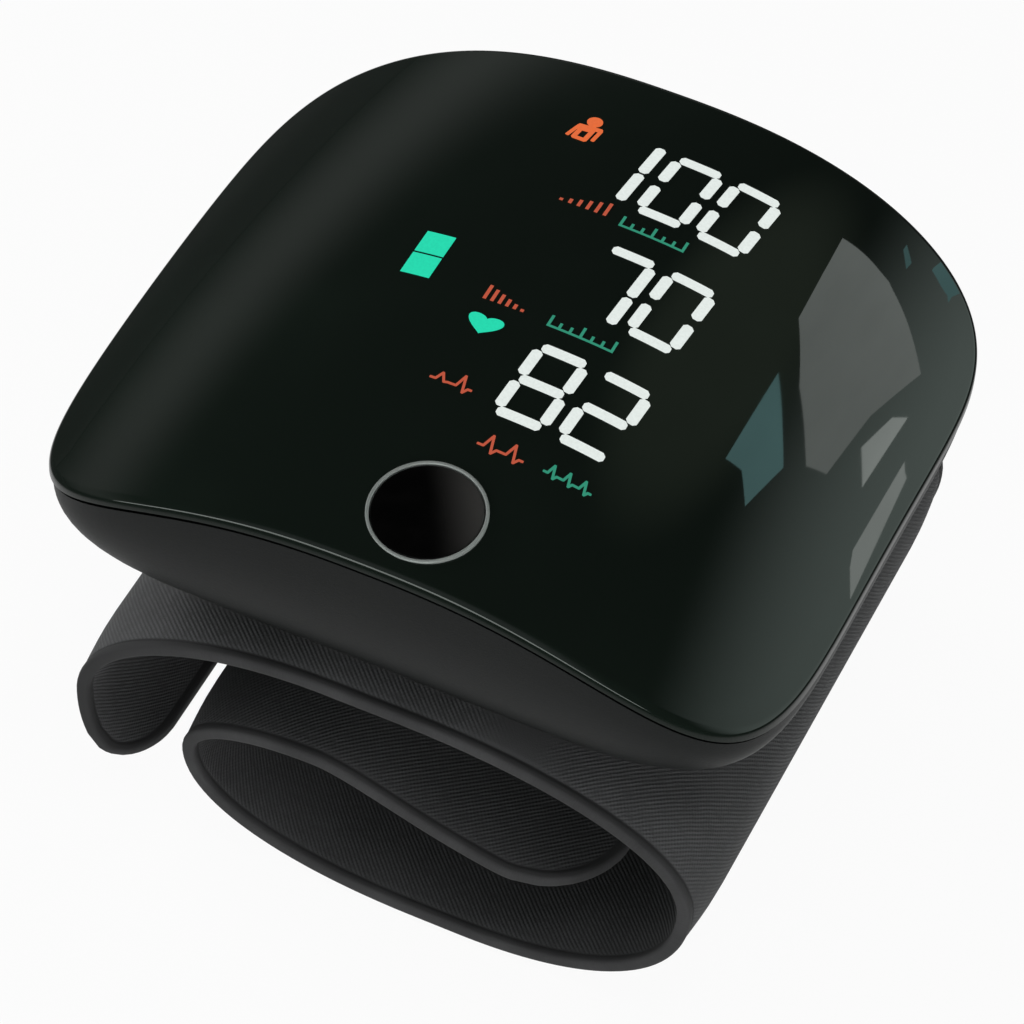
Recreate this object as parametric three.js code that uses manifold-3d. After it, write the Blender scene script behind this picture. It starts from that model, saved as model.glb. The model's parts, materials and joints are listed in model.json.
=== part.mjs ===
// Wrist blood pressure monitor on a rolled fabric cuff.
// Millimetres, +Z up. X runs along the display's lines and Y along the wrist.
// The origin is under the middle of the case, on the surface that the cuff lies on.

import * as THREE from 'three';
import { mergeVertices } from 'three/addons/utils/BufferGeometryUtils.js';
import Module from 'manifold-3d';

const wasm = await Module();
wasm.setup();

// Clearances
const GAP = 0.3; // between pieces that touch
const LAYER_GAP = 0.1; // between the sheets inside the cuff

// Cuff: one band rolled into a flat spiral, given by the outside of its section
const CUFF_WIDTH = 67;
const CUFF_THICK = 2.4;
const CLOTH_THICK = 0.7;
const CUFF_TOP = 30.5; // top of the layer under the case
const UPPER_LEFT = -8; // the upper layer droops left of this
const UPPER_RIGHT = 18; // the right bend starts here
const BEND_RIGHT = 35.3;
const BEND_WAIST = 14.5;
const BASE_RIGHT = 13; // flat stretch that the cuff lies on
const BASE_LEFT = 1;
const ROLL_LEFT = -19.9;
const ROLL_WAIST = 13.4;
const ROLL_TOP = 19.6;
const ROLL_TOP_X = -7;
const TONGUE_END = 24.8;
const TONGUE_END_Z = 13.4;
const TONGUE_CORNER = 10;
const TAIL_LEFT = -31.3;
const TAIL_WAIST = 15.5;
const TAIL_END = -24.2;
const TAIL_END_Z = 3.9;
const TAIL_CORNER = 8;
const BEND_PULL = 0.5; // handle length of a quarter bend, as a share of its sides
const BEND_SPLIT = 0.5; // where the bend divides between the wrap and the case, along its top half
const TAIL_SPLIT = 0.75; // where the tail divides from the upper layer, along its rise

// Sheets inside the cuff
const PLATE_THICK = 0.4;
const PLATE_RIM = 0.6; // beside the post heads
const PLATE_END_INSET = 1;
const PLATE_CLEAR = 4; // from the air nozzle
const POST_R = 1.2;
const POST_HEAD_R = 1.9;
const POST_HEAD_H = 0.6;
const POST_CLEAR = 2.1; // between the right-hand posts and the board's legs
const BLADDER_THICK = 0.3;
const BLADDER_WIDTH = 54;
const HOOK_THICK = 0.8;
const HOOK_WIDTH = 40;
const HOOK_FROM = 0.55; // along the tongue
const HOOK_TO = 0.9;

// Case
const COVER_W = 78;
const COVER_D = 70.5;
const COVER_WALL = 1.8;
const PLAN_POWER = 5.3; // 2 is an ellipse, more is squarer
const ARCH_DROP = 14.5; // from the middle to the left and right edges
const ARCH_POWER = 2.45;
const CROWN_DROP = 3; // from the middle to the front and back edges
const CROWN_POWER = 1.8;
const LIP_H = 2;
const LIP_ROUND = 0.9;
const CASE_H = 23.2; // from the case's flat underside to the top of the cover
const CASE_WALL = 1.8;
const CASE_TUCK = 8; // how far the bowl draws in under the cover
const SEAM_STEP = 0.25; // the bowl's rim stands inside the lip by this

// Start button
const BUTTON_X = 2.8;
const BUTTON_FROM_FRONT = 7.5;
const BUTTON_R = 4.95;
const BUTTON_DISH = 0.25;
const BUTTON_THICK = 1.6;
const BUTTON_STEM_R = 1.4;
const RING_R = 5.7;
const RING_W = 0.45;
const RING_H = 1.5;
const RING_PROUD = 0.1;

// Circuit board and what is on it
const BOARD_LIFT = 10.4; // from the case floor to the board
const BOARD_T = 1;
const BOARD_EDGE = 5.25; // from the cover's front and back edges to the board's
const BOARD_CORNER = 3;
const STANDOFF_R = 2;
const STANDOFF_INSET_X = 4.3;
const STANDOFF_INSET_Y = 7.5;
const SWITCH_SIZE = 4.6;
const SWITCH_H = 2.2;
const SWITCH_BORE_H = 1.4;
const PLUNGER_R = 1.1;
const PLUNGER_PROUD = 0.9;
const GUIDE_H = 3.1;
const GUIDE_SHIFT = 0.75; // of the display, right of the middle
const GUIDE_FROM_FRONT = 9; // from the board's front edge
const GUIDE_FROM_BACK = 3;
const DIGIT_ROWS = 3;
const DIGIT_DEPTH = 2;
const DIGITS_FROM_SIDE = 2.75; // from the guide's edges to the digit wells
const DIGITS_FROM_FRONT = 5;
const DIGITS_FROM_BACK = 1.5;
const DIGIT_ROW_GAP = 4.25;
const CHIP_SIZE = 7;
const CHIP_H = 1;
const CHIP_AT = [8, -10];
const SOCKET_W = 9;
const SOCKET_H = 3.2;
const SOCKET_L = 7.5;
const SOCKET_WALL = 0.35;
const SOCKET_DEPTH = 6;
const SOCKET_RECESS = 0.7; // from the outside of the case to the socket's mouth

// Power and air
const BATTERY = [28, 19, 5.5];
const BATTERY_CORNER = 1.5;
const BATTERY_CLEAR = 1.4; // from the screw bosses and the board's legs
const PUMP_R = 4.7;
const PUMP_TUBE_L = 3; // from the manifold to the pump
const PUMP_HEAD_L = 9;
const MOTOR_L = 19;
const MOTOR_WALL = 0.8;
const PUMP_Y = 10;
const ROTOR_R = 3.2;
const ROTOR_L = 11;
const SHAFT_R = 0.9;
const CRANK_R = 1.6;
const CRANK_OFFSET = 0.6;
const CRANK_L = 3;
const OUTLET_R = 0.9;
const OUTLET_L = 2;
const AIR_TUBE_R = 2;
const MANIFOLD_CLEAR = 2.5; // from the battery
const MANIFOLD_W = 7;
const MANIFOLD_FRONT = -4;
const MANIFOLD_BACK = 13;
const MANIFOLD_H = 4.3;
const RISER_D = 6;
const RISER_H = 7.7;
const NOZZLE_R = 1.6;
const NOZZLE_Y = 2;
const SENSOR_SIZE = 5;
const SENSOR_H = 2.4;
const SENSOR_TUBE_R = 1.4;
const SENSOR_TUBE_BORE = 0.7;
const VALVE_R = 3.2;
const VALVE_H = 8;
const VALVE_Y = -9.5;
const VALVE_BORE_R = 1.5;
const VALVE_FLOOR = 1.2;
const VALVE_PLUNGER_R = 1.2;
const VALVE_PLUNGER_H = 5.5;

// Screws
const SCREW_R = 1;
const SCREW_HEAD_R = 1.9;
const SCREW_HEAD_H = 0.7;
const CASE_SCREW_L = 8;
const BOARD_SCREW_L = 6;
const BOSS_R = 2.6;
const BOSS_INSET_X = 13.5;
const BOSS_INSET_Y = 16.25;

// Heights and places that follow from the sizes above
const CASE_BOTTOM = CUFF_TOP + GAP;
const COVER_TOP = CASE_BOTTOM + CASE_H;
const FLOOR = CASE_BOTTOM + CASE_WALL;
const SEAT = FLOOR + GAP;
const BOARD_BOTTOM = FLOOR + BOARD_LIFT;
const BOARD_SEAT = BOARD_BOTTOM + BOARD_T + GAP;
const UNDER_BOARD = BOARD_BOTTOM - GAP;
const BOSS_X = COVER_W / 2 - BOSS_INSET_X;
const BOSS_Y = COVER_D / 2 - BOSS_INSET_Y;
const BOARD_W = 2 * (BOSS_X - BOSS_R - 2 * GAP);
const BOARD_D = COVER_D - 2 * BOARD_EDGE;
const STANDOFF_X = BOARD_W / 2 - STANDOFF_INSET_X;
const STANDOFF_Y = BOARD_D / 2 - STANDOFF_INSET_Y;
const GUIDE_RIGHT = STANDOFF_X - SCREW_HEAD_R - 2 * GAP;
const GUIDE_LEFT = 2 * GUIDE_SHIFT - GUIDE_RIGHT;
const GUIDE_FRONT = GUIDE_FROM_FRONT - BOARD_D / 2;
const GUIDE_BACK = BOARD_D / 2 - GUIDE_FROM_BACK;
const BATTERY_X = BOSS_X - BOSS_R - BATTERY_CLEAR - BATTERY[0] / 2;
const BATTERY_Y = BATTERY[1] / 2 - STANDOFF_Y + STANDOFF_R + BATTERY_CLEAR;
const SCREW_HOLE_R = SCREW_R + GAP;
const BUTTON_Y = BUTTON_FROM_FRONT - COVER_D / 2;
const PUMP_Z = SEAT + PUMP_R;
const MANIFOLD_RIGHT = BATTERY_X - BATTERY[0] / 2 - MANIFOLD_CLEAR;
const MANIFOLD_LEFT = MANIFOLD_RIGHT - MANIFOLD_W;
const MANIFOLD_X = (MANIFOLD_LEFT + MANIFOLD_RIGHT) / 2;
const PUMP_LEFT = MANIFOLD_RIGHT + PUMP_TUBE_L;
const PLATE_LEFT = MANIFOLD_X + NOZZLE_R + PLATE_CLEAR;
const POST_LEFT = PLATE_LEFT + PLATE_END_INSET + POST_HEAD_R;
const POST_X = [POST_LEFT, STANDOFF_X - STANDOFF_R - POST_HEAD_R - POST_CLEAR];
const POST_Y = STANDOFF_Y;
const PLATE_WIDTH = 2 * (POST_Y + POST_HEAD_R + PLATE_RIM);
const PLATE_DEPTH = CLOTH_THICK + LAYER_GAP;
const LINING_DEPTH = CUFF_THICK - CLOTH_THICK;
const BLADDER_DEPTH = PLATE_DEPTH + PLATE_THICK + LAYER_GAP;
const SIDES = 16; // of small round pieces

// Solids

function toSolid(geometry) {
  const bare = geometry.index ? geometry.toNonIndexed() : geometry.clone();
  bare.deleteAttribute('normal');
  bare.deleteAttribute('uv');
  const merged = mergeVertices(bare, 1e-4);
  return new wasm.Manifold(new wasm.Mesh({
    numProp: 3,
    vertProperties: new Float32Array(merged.attributes.position.array),
    triVerts: new Uint32Array(merged.index.array),
  }));
}

function toGeometry(solid) {
  const { vertProperties, triVerts } = solid.getMesh();
  const geometry = new THREE.BufferGeometry();
  geometry.setAttribute('position', new THREE.BufferAttribute(vertProperties, 3));
  geometry.setIndex(new THREE.BufferAttribute(triVerts, 1));
  geometry.computeVertexNormals();
  return geometry;
}

function joined(base, extras) {
  return toGeometry(extras.reduce((solid, extra) => solid.add(toSolid(extra)), toSolid(base)));
}

function cut(base, tools) {
  return toGeometry(tools.reduce((solid, tool) => solid.subtract(toSolid(tool)), toSolid(base)));
}

function common(base, limit) {
  return toGeometry(toSolid(base).intersect(toSolid(limit)));
}

function block([x0, x1], [y0, y1], [z0, z1]) {
  const geometry = new THREE.BoxGeometry(x1 - x0, y1 - y0, z1 - z0);
  return geometry.translate((x0 + x1) / 2, (y0 + y1) / 2, (z0 + z1) / 2);
}

function post(radius, z0, z1, x = 0, y = 0) {
  const geometry = new THREE.CylinderGeometry(radius, radius, z1 - z0, SIDES);
  return geometry.rotateX(Math.PI / 2).translate(x, y, (z0 + z1) / 2);
}

// A turned piece: closed profile of [radius, height] pairs, anticlockwise, about Z
function turned(profile, sides = SIDES) {
  const points = [...profile, profile[0]].map(([r, h]) => new THREE.Vector2(r, h));
  return toGeometry(toSolid(new THREE.LatheGeometry(points, sides).rotateX(Math.PI / 2)));
}

function roundedRectangle(width, depth, radius) {
  const x = width / 2;
  const y = depth / 2;
  const shape = new THREE.Shape();
  shape.absarc(x - radius, y - radius, radius, 0, Math.PI / 2);
  shape.absarc(radius - x, y - radius, radius, Math.PI / 2, Math.PI);
  shape.absarc(radius - x, radius - y, radius, Math.PI, 1.5 * Math.PI);
  shape.absarc(x - radius, radius - y, radius, 1.5 * Math.PI, 2 * Math.PI);
  return shape;
}

function slab(shape, z0, z1) {
  const options = { depth: z1 - z0, bevelEnabled: false, curveSegments: 5 };
  return new THREE.ExtrudeGeometry(shape, options).translate(0, 0, z0);
}

// The four places mirrored about the middle
function fourCorners(x, y) {
  return [[-x, -y], [x, -y], [x, y], [-x, y]];
}

// Case surfaces: rings around the plan, joined from one pole to the other

const RING_STEPS = 48;
const SURFACE_SHARES = [0.14, 0.3, 0.46, 0.62, 0.76, 0.88, 0.96, 1];
const BOWL_STEPS = 6;

function coverZ(x, y) {
  const arch = ARCH_DROP * Math.abs((2 * x) / COVER_W) ** ARCH_POWER;
  const crown = CROWN_DROP * Math.abs((2 * y) / COVER_D) ** CROWN_POWER;
  return COVER_TOP - arch - crown;
}

function planRing(share, inset, height) {
  const halfW = COVER_W / 2;
  const halfD = COVER_D / 2;
  return Array.from({ length: RING_STEPS }, (_, i) => {
    const angle = (i / RING_STEPS) * 2 * Math.PI;
    const c = Math.cos(angle);
    const s = Math.sin(angle);
    const reach = (Math.abs(c) ** PLAN_POWER + Math.abs(s) ** PLAN_POWER) ** (-1 / PLAN_POWER);
    const edge = coverZ(halfW * reach * c, halfD * reach * s);
    const x = share * (halfW - inset) * reach * c;
    const y = share * (halfD - inset) * reach * s;
    return new THREE.Vector3(x, y, height(x, y, edge));
  });
}

function pole(z) {
  return Array.from({ length: RING_STEPS }, () => new THREE.Vector3(0, 0, z));
}

function loft(rings) {
  const corners = [];
  for (let i = 0; i + 1 < rings.length; i += 1) {
    const inner = rings[i];
    const outer = rings[i + 1];
    for (let j = 0; j < RING_STEPS; j += 1) {
      const k = (j + 1) % RING_STEPS;
      if (i > 0) {
        corners.push(inner[j], outer[k], inner[k]);
      }
      if (i + 2 < rings.length) {
        corners.push(inner[j], outer[j], outer[k]);
      }
    }
  }
  return new THREE.BufferGeometry().setFromPoints(corners);
}

function coverShell() {
  const outside = SURFACE_SHARES.map((share) => planRing(share, LIP_ROUND, coverZ));
  const bullnose = [30, 60, 90].map((degrees) => {
    const turn = THREE.MathUtils.degToRad(degrees);
    const inset = LIP_ROUND * (1 - Math.sin(turn));
    return planRing(1, inset, (x, y) => coverZ(x, y) - LIP_ROUND * (1 - Math.cos(turn)));
  });
  const lip = [0, COVER_WALL].map((inset) => planRing(1, inset, (x, y, edge) => edge - LIP_H));
  const inside = [...SURFACE_SHARES].reverse().map((share) => planRing(share, COVER_WALL, (x, y, edge) => {
    const ceiling = coverZ(x, y) - COVER_WALL;
    return share < 1 ? ceiling : Math.max(ceiling, edge - LIP_H + GAP);
  }));
  return loft([
    pole(COVER_TOP), ...outside, ...bullnose, ...lip, ...inside, pole(COVER_TOP - COVER_WALL),
  ]);
}

// Everything under the middle of the cover's wall, down to a level
function underCover(bottom) {
  const middle = (x, y) => coverZ(x, y) - COVER_WALL / 2;
  const top = SURFACE_SHARES.map((share) => planRing(share, COVER_WALL, middle));
  const base = planRing(1, COVER_WALL, () => bottom);
  return loft([pole(COVER_TOP - COVER_WALL / 2), ...top, base, pole(bottom)]);
}

function bowlRing(turn, wall) {
  const inset = SEAM_STEP + wall + CASE_TUCK * (1 - Math.cos(turn));
  return planRing(1, inset, (x, y, edge) => {
    const seam = edge - LIP_H - GAP;
    return seam - (seam - CASE_BOTTOM - wall) * Math.sin(turn);
  });
}

function bowlShell() {
  const turns = Array.from({ length: BOWL_STEPS + 1 }, (_, i) => (i / BOWL_STEPS) * (Math.PI / 2));
  const inside = [...turns].reverse().map((turn) => bowlRing(turn, CASE_WALL));
  const outside = turns.map((turn) => bowlRing(turn, 0));
  return loft([pole(FLOOR), ...inside, ...outside, pole(CASE_BOTTOM)]);
}

// Start button, square to the cover where it stands

function buttonSeat() {
  const seat = new THREE.Group();
  const slope = (coverZ(BUTTON_X, BUTTON_Y + GAP) - coverZ(BUTTON_X, BUTTON_Y - GAP)) / (2 * GAP);
  seat.position.set(BUTTON_X, BUTTON_Y, coverZ(BUTTON_X, BUTTON_Y));
  seat.rotation.x = Math.atan(slope);
  seat.updateMatrixWorld();
  return seat;
}

const seat = buttonSeat();
const switchAt = new THREE.Vector3();
const switchTop = BOARD_SEAT + SWITCH_H;
const stemEnd = switchTop + PLUNGER_PROUD + GAP;
const stemLength = (seat.position.z - stemEnd) / Math.cos(seat.rotation.x);
seat.localToWorld(switchAt.set(0, 0, -stemLength));

function buttonCap() {
  return turned([
    [0, -stemLength], [BUTTON_STEM_R, -stemLength], [BUTTON_STEM_R, -BUTTON_THICK],
    [BUTTON_R, -BUTTON_THICK], [BUTTON_R, -BUTTON_DISH], [BUTTON_R - BUTTON_DISH, 0],
    [0, -BUTTON_DISH],
  ], 40);
}

function buttonRing() {
  const inner = RING_R - RING_W;
  return turned([
    [inner, RING_PROUD - RING_H], [RING_R, RING_PROUD - RING_H], [RING_R, RING_PROUD], [inner, RING_PROUD],
  ], 40);
}

// Case halves

function topCover() {
  const bosses = fourCorners(BOSS_X, BOSS_Y);
  const room = underCover(SEAT);
  const legs = bosses.map(([x, y]) => common(post(BOSS_R, SEAT, COVER_TOP, x, y), room));
  const bores = bosses.map(([x, y]) => post(SCREW_HOLE_R, SEAT - GAP, SEAT + CASE_SCREW_L, x, y));
  const buttonHole = post(RING_R + GAP, -2 * COVER_WALL, 2 * COVER_WALL).applyMatrix4(seat.matrixWorld);
  return cut(joined(coverShell(), legs), [...bores, buttonHole]);
}

// Where the outside of the bowl's back wall stands at a height
function backWall(z) {
  const seam = coverZ(0, COVER_D / 2) - LIP_H - GAP;
  const turn = Math.asin((seam - z) / (seam - CASE_BOTTOM));
  return COVER_D / 2 - SEAM_STEP - CASE_TUCK * (1 - Math.cos(turn));
}

const socketZ = UNDER_BOARD - SOCKET_H / 2;
const socketMouth = backWall(socketZ) - SOCKET_RECESS;

function lowerCase() {
  const floor = [CASE_BOTTOM - GAP, FLOOR + GAP];
  const standoffs = fourCorners(STANDOFF_X, STANDOFF_Y);
  const legs = standoffs.map(([x, y]) => post(STANDOFF_R, FLOOR - GAP, UNDER_BOARD, x, y));
  const boreBottom = UNDER_BOARD - BOARD_SCREW_L;
  const bores = standoffs.map(([x, y]) => post(SCREW_HOLE_R, boreBottom, BOARD_BOTTOM, x, y));
  const screwHoles = fourCorners(BOSS_X, BOSS_Y).flatMap(([x, y]) => [
    post(SCREW_HOLE_R, ...floor, x, y),
    post(SCREW_HEAD_R + GAP, floor[0], CASE_BOTTOM + SCREW_HEAD_H + GAP, x, y),
  ]);
  const postHoles = postPlaces().map(([x, y]) => post(POST_R + GAP, ...floor, x, y));
  const nozzleHole = post(NOZZLE_R + GAP, ...floor, MANIFOLD_X, NOZZLE_Y);
  const mouth = slab(roundedRectangle(SOCKET_W + 2 * GAP, SOCKET_H + 2 * GAP, SOCKET_H / 2), 0, SOCKET_L);
  mouth.rotateX(-Math.PI / 2).translate(0, socketMouth - SOCKET_RECESS - CASE_WALL, socketZ);
  return cut(joined(bowlShell(), legs), [...bores, ...screwHoles, ...postHoles, nozzleHole, mouth]);
}

// A screw whose head stands on z = 0 and whose shank points up
function screw(length) {
  return turned([
    [0, -SCREW_HEAD_H], [SCREW_HEAD_R, -SCREW_HEAD_H], [SCREW_HEAD_R, 0], [SCREW_R, 0],
    [SCREW_R, length], [0, length],
  ], 14);
}

// Circuit board

function mainBoard() {
  const board = slab(roundedRectangle(BOARD_W, BOARD_D, BOARD_CORNER), BOARD_BOTTOM, BOARD_BOTTOM + BOARD_T);
  const holes = fourCorners(STANDOFF_X, STANDOFF_Y);
  return cut(board, holes.map(([x, y]) => post(SCREW_HOLE_R, BOARD_BOTTOM - GAP, BOARD_SEAT, x, y)));
}

function displayGuide() {
  const top = BOARD_SEAT + GUIDE_H;
  const back = GUIDE_BACK - DIGITS_FROM_BACK;
  const pitch = (back - GUIDE_FRONT - DIGITS_FROM_FRONT + DIGIT_ROW_GAP) / DIGIT_ROWS;
  const wells = Array.from({ length: DIGIT_ROWS }, (_, row) => block(
    [GUIDE_LEFT + DIGITS_FROM_SIDE, GUIDE_RIGHT - DIGITS_FROM_SIDE],
    [back - (row + 1) * pitch + DIGIT_ROW_GAP, back - row * pitch],
    [top - DIGIT_DEPTH, top + GAP],
  ));
  return cut(block([GUIDE_LEFT, GUIDE_RIGHT], [GUIDE_FRONT, GUIDE_BACK], [BOARD_SEAT, top]), wells);
}

function tactSwitch() {
  const half = SWITCH_SIZE / 2;
  const body = block([-half, half], [-half, half], [BOARD_SEAT, switchTop]);
  return cut(body, [post(PLUNGER_R + GAP, switchTop - SWITCH_BORE_H, switchTop + GAP)]);
}

function usbSocket() {
  const shell = slab(roundedRectangle(SOCKET_W, SOCKET_H, SOCKET_H / 2 - SOCKET_WALL), -SOCKET_L, 0);
  const width = SOCKET_W - 2 * SOCKET_WALL;
  const height = SOCKET_H - 2 * SOCKET_WALL;
  const hollow = slab(roundedRectangle(width, height, height / 2 - SOCKET_WALL), -SOCKET_DEPTH, GAP);
  return cut(shell, [hollow]).rotateX(-Math.PI / 2);
}

// Air pump, lying along X with its outlet towards -X

function pumpHead() {
  const face = PUMP_HEAD_L;
  const hollow = CRANK_L + 2 * GAP;
  return turned([
    [0, -OUTLET_L], [OUTLET_R, -OUTLET_L], [OUTLET_R, 0], [PUMP_R, 0], [PUMP_R, face],
    [PUMP_R - 2 * MOTOR_WALL, face], [PUMP_R - 2 * MOTOR_WALL, face - hollow], [0, face - hollow],
  ]);
}

function motorCan() {
  const end = MOTOR_L;
  return turned([
    [PUMP_R - MOTOR_WALL, 0], [PUMP_R, 0], [PUMP_R, end], [0, end], [0, end - MOTOR_WALL],
    [PUMP_R - MOTOR_WALL, end - MOTOR_WALL],
  ]);
}

function pumpRotor() {
  const start = (MOTOR_L - ROTOR_L) / 2;
  const rotor = turned([
    [0, -CRANK_L], [SHAFT_R, -CRANK_L], [SHAFT_R, start], [ROTOR_R, start], [ROTOR_R, start + ROTOR_L],
    [SHAFT_R, start + ROTOR_L], [SHAFT_R, MOTOR_L - MOTOR_WALL - GAP], [0, MOTOR_L - MOTOR_WALL - GAP],
  ]);
  return joined(rotor, [post(CRANK_R, -CRANK_L, -GAP, CRANK_OFFSET, 0)]);
}

// A length of tube along Z
function tube(radius, bore, length) {
  return turned([[bore, 0], [radius, 0], [radius, length], [bore, length]]);
}

function airManifold() {
  const span = [MANIFOLD_LEFT, MANIFOLD_RIGHT];
  const base = block(span, [MANIFOLD_FRONT, MANIFOLD_BACK], [SEAT, SEAT + MANIFOLD_H]);
  const riser = block(span, [MANIFOLD_BACK - RISER_D, MANIFOLD_BACK], [SEAT, SEAT + RISER_H]);
  const nozzleEnd = CUFF_TOP - BLADDER_DEPTH + GAP;
  const nozzle = post(NOZZLE_R, nozzleEnd, SEAT + GAP, MANIFOLD_X, NOZZLE_Y);
  const stub = post(OUTLET_R, 0, MANIFOLD_FRONT - VALVE_Y - VALVE_R).rotateX(Math.PI / 2);
  stub.translate(MANIFOLD_X, MANIFOLD_FRONT + GAP, SEAT + MANIFOLD_H / 2);
  return joined(base, [riser, nozzle, stub]);
}

function valveBody() {
  return turned([
    [0, 0], [VALVE_R, 0], [VALVE_R, VALVE_H], [VALVE_BORE_R, VALVE_H], [VALVE_BORE_R, VALVE_FLOOR],
    [0, VALVE_FLOOR],
  ]);
}

// Cuff section: outside line of the band from the tail's end to the tongue's end

const at = (x, z) => new THREE.Vector2(x, z);

// A quarter bend between two places, whose sides meet square at the corner
function quarterBend(from, to, corner) {
  const leave = from.clone().lerp(corner, BEND_PULL);
  const arrive = to.clone().lerp(corner, BEND_PULL);
  return new THREE.CubicBezierCurve(from, leave, arrive, to);
}

const tailTip = quarterBend(
  at(TAIL_END, TAIL_END_Z), at(TAIL_LEFT, TAIL_WAIST), at(TAIL_LEFT, TAIL_END_Z));
const tailRise = quarterBend(
  at(TAIL_LEFT, TAIL_WAIST), at(UPPER_LEFT, CUFF_TOP), at(TAIL_LEFT, CUFF_TOP));
const upper = new THREE.LineCurve(at(UPPER_LEFT, CUFF_TOP), at(UPPER_RIGHT, CUFF_TOP));
const bendTop = quarterBend(
  at(UPPER_RIGHT, CUFF_TOP), at(BEND_RIGHT, BEND_WAIST), at(BEND_RIGHT, CUFF_TOP));
const bendBottom = quarterBend(
  at(BEND_RIGHT, BEND_WAIST), at(BASE_RIGHT, 0), at(BEND_RIGHT, 0));
const base = new THREE.LineCurve(at(BASE_RIGHT, 0), at(BASE_LEFT, 0));
const rollBottom = quarterBend(
  at(BASE_LEFT, 0), at(ROLL_LEFT, ROLL_WAIST), at(ROLL_LEFT, 0));
const rollTop = quarterBend(
  at(ROLL_LEFT, ROLL_WAIST), at(ROLL_TOP_X, ROLL_TOP), at(ROLL_LEFT, ROLL_TOP));
const tongueSpan = TONGUE_END - ROLL_TOP_X;
const tongue = new THREE.CubicBezierCurve(
  at(ROLL_TOP_X, ROLL_TOP), at(ROLL_TOP_X + tongueSpan / 5, ROLL_TOP),
  at(TONGUE_END - tongueSpan / 2, TONGUE_END_Z), at(TONGUE_END, TONGUE_END_Z));

// Places along one curve, each with its direction
function along(curve, from, to, steps) {
  return Array.from({ length: steps + 1 }, (_, i) => {
    const t = from + ((to - from) * i) / steps;
    return { point: curve.getPoint(t), tangent: curve.getTangent(t) };
  });
}

// One run of the band out of several curves, with each end drawn back
function run(...legs) {
  const places = legs.flatMap((leg, i) => along(...leg).slice(i === 0 ? 0 : 1));
  const first = places[0];
  const last = places.at(-1);
  first.point.addScaledVector(first.tangent, GAP / 2);
  last.point.addScaledVector(last.tangent, -GAP / 2);
  return places;
}

// A sheet that follows a run of the band between two depths below its outside
function sheet(places, near, far, width) {
  const level = (depth) => places.map(({ point, tangent }) => at(
    point.x + depth * tangent.y, point.y - depth * tangent.x,
  ));
  const shape = new THREE.Shape([...level(near), ...level(far).reverse()]);
  const geometry = new THREE.ExtrudeGeometry(shape, { depth: width, bevelEnabled: false });
  return geometry.rotateX(Math.PI / 2).translate(0, width / 2, 0);
}

const tailRun = () => run([tailTip, 0, 1, 6], [tailRise, 0, TAIL_SPLIT, 8]);
const upperRun = () => run([tailRise, TAIL_SPLIT, 1, 4], [upper, 0, 1, 1], [bendTop, 0, BEND_SPLIT, 5]);
const bendRun = () => run([bendTop, BEND_SPLIT, 1, 4], [bendBottom, 0, 1, 9]);
const baseRun = () => run([base, 0, 1, 1]);
const rollRun = () => run([rollBottom, 0, 1, 9], [rollTop, 0, 1, 7]);
const tongueRun = () => run([tongue, 0, 1, 7]);
const wrapRun = () => run(
  [bendTop, BEND_SPLIT, 1, 4], [bendBottom, 0, 1, 9], [base, 0, 1, 1], [rollBottom, 0, 1, 9],
  [rollTop, 0, 1, 7], [tongue, 0, 1, 7]);

const coverCloth = (places) => sheet(places, 0, CLOTH_THICK, CUFF_WIDTH);
const liningCloth = (places) => sheet(places, LINING_DEPTH, CUFF_THICK, CUFF_WIDTH);

// Rounds the two corners of the tongue's end, in plan
function roundTongue(cloth) {
  const length = 2 * CUFF_WIDTH;
  const plan = slab(roundedRectangle(length, CUFF_WIDTH, TONGUE_CORNER), -GAP, CUFF_TOP - CUFF_THICK - GAP);
  plan.translate(TONGUE_END - GAP / 2 - length / 2, 0, 0);
  return common(cloth, plan);
}

// The wrap's lining runs under the tongue's cover, so only its tongue is rounded
function roundedWrapLining() {
  const lining = liningCloth(wrapRun());
  const tongueTop = [ROLL_TOP_X, TONGUE_END + GAP];
  const around = block(tongueTop, [-CUFF_WIDTH, CUFF_WIDTH], [TONGUE_END_Z / 2, ROLL_TOP + GAP]);
  const end = roundTongue(common(lining, around));
  return joined(cut(lining, [around]), [end]);
}

// Rounds the two lower corners of the tail, seen along X
function roundTail(cloth) {
  const height = 2 * CUFF_TOP;
  const side = slab(roundedRectangle(height, CUFF_WIDTH, TAIL_CORNER), TAIL_LEFT - GAP, UPPER_LEFT);
  side.rotateY(Math.PI / 2).translate(0, 0, TAIL_END_Z - GAP + height / 2);
  return common(cloth, side);
}

function postPlaces() {
  return POST_X.flatMap((x) => [[x, -POST_Y], [x, POST_Y]]);
}

function upperCover() {
  const through = [CUFF_TOP - CUFF_THICK, CUFF_TOP + GAP];
  const holes = postPlaces().map(([x, y]) => post(POST_R + GAP, ...through, x, y));
  const nozzleHole = post(NOZZLE_R + GAP, ...through, MANIFOLD_X, NOZZLE_Y);
  return cut(coverCloth(upperRun()), [...holes, nozzleHole]);
}

function cuffPlate() {
  const bottom = CUFF_TOP - PLATE_DEPTH - PLATE_THICK;
  const span = [PLATE_LEFT, UPPER_RIGHT - PLATE_END_INSET];
  const plate = block(span, [-PLATE_WIDTH / 2, PLATE_WIDTH / 2], [bottom, bottom + PLATE_THICK]);
  const stakes = postPlaces().flatMap(([x, y]) => [
    post(POST_R, bottom, SEAT + POST_HEAD_H, x, y),
    post(POST_HEAD_R, SEAT, SEAT + POST_HEAD_H, x, y),
  ]);
  return joined(plate, stakes);
}

function upperBladder() {
  const places = run([tailRise, (1 + TAIL_SPLIT) / 2, 1, 2], [upper, 0, 1, 1], [bendTop, 0, BEND_SPLIT, 5]);
  return sheet(places, BLADDER_DEPTH, BLADDER_DEPTH + BLADDER_THICK, BLADDER_WIDTH);
}

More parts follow.
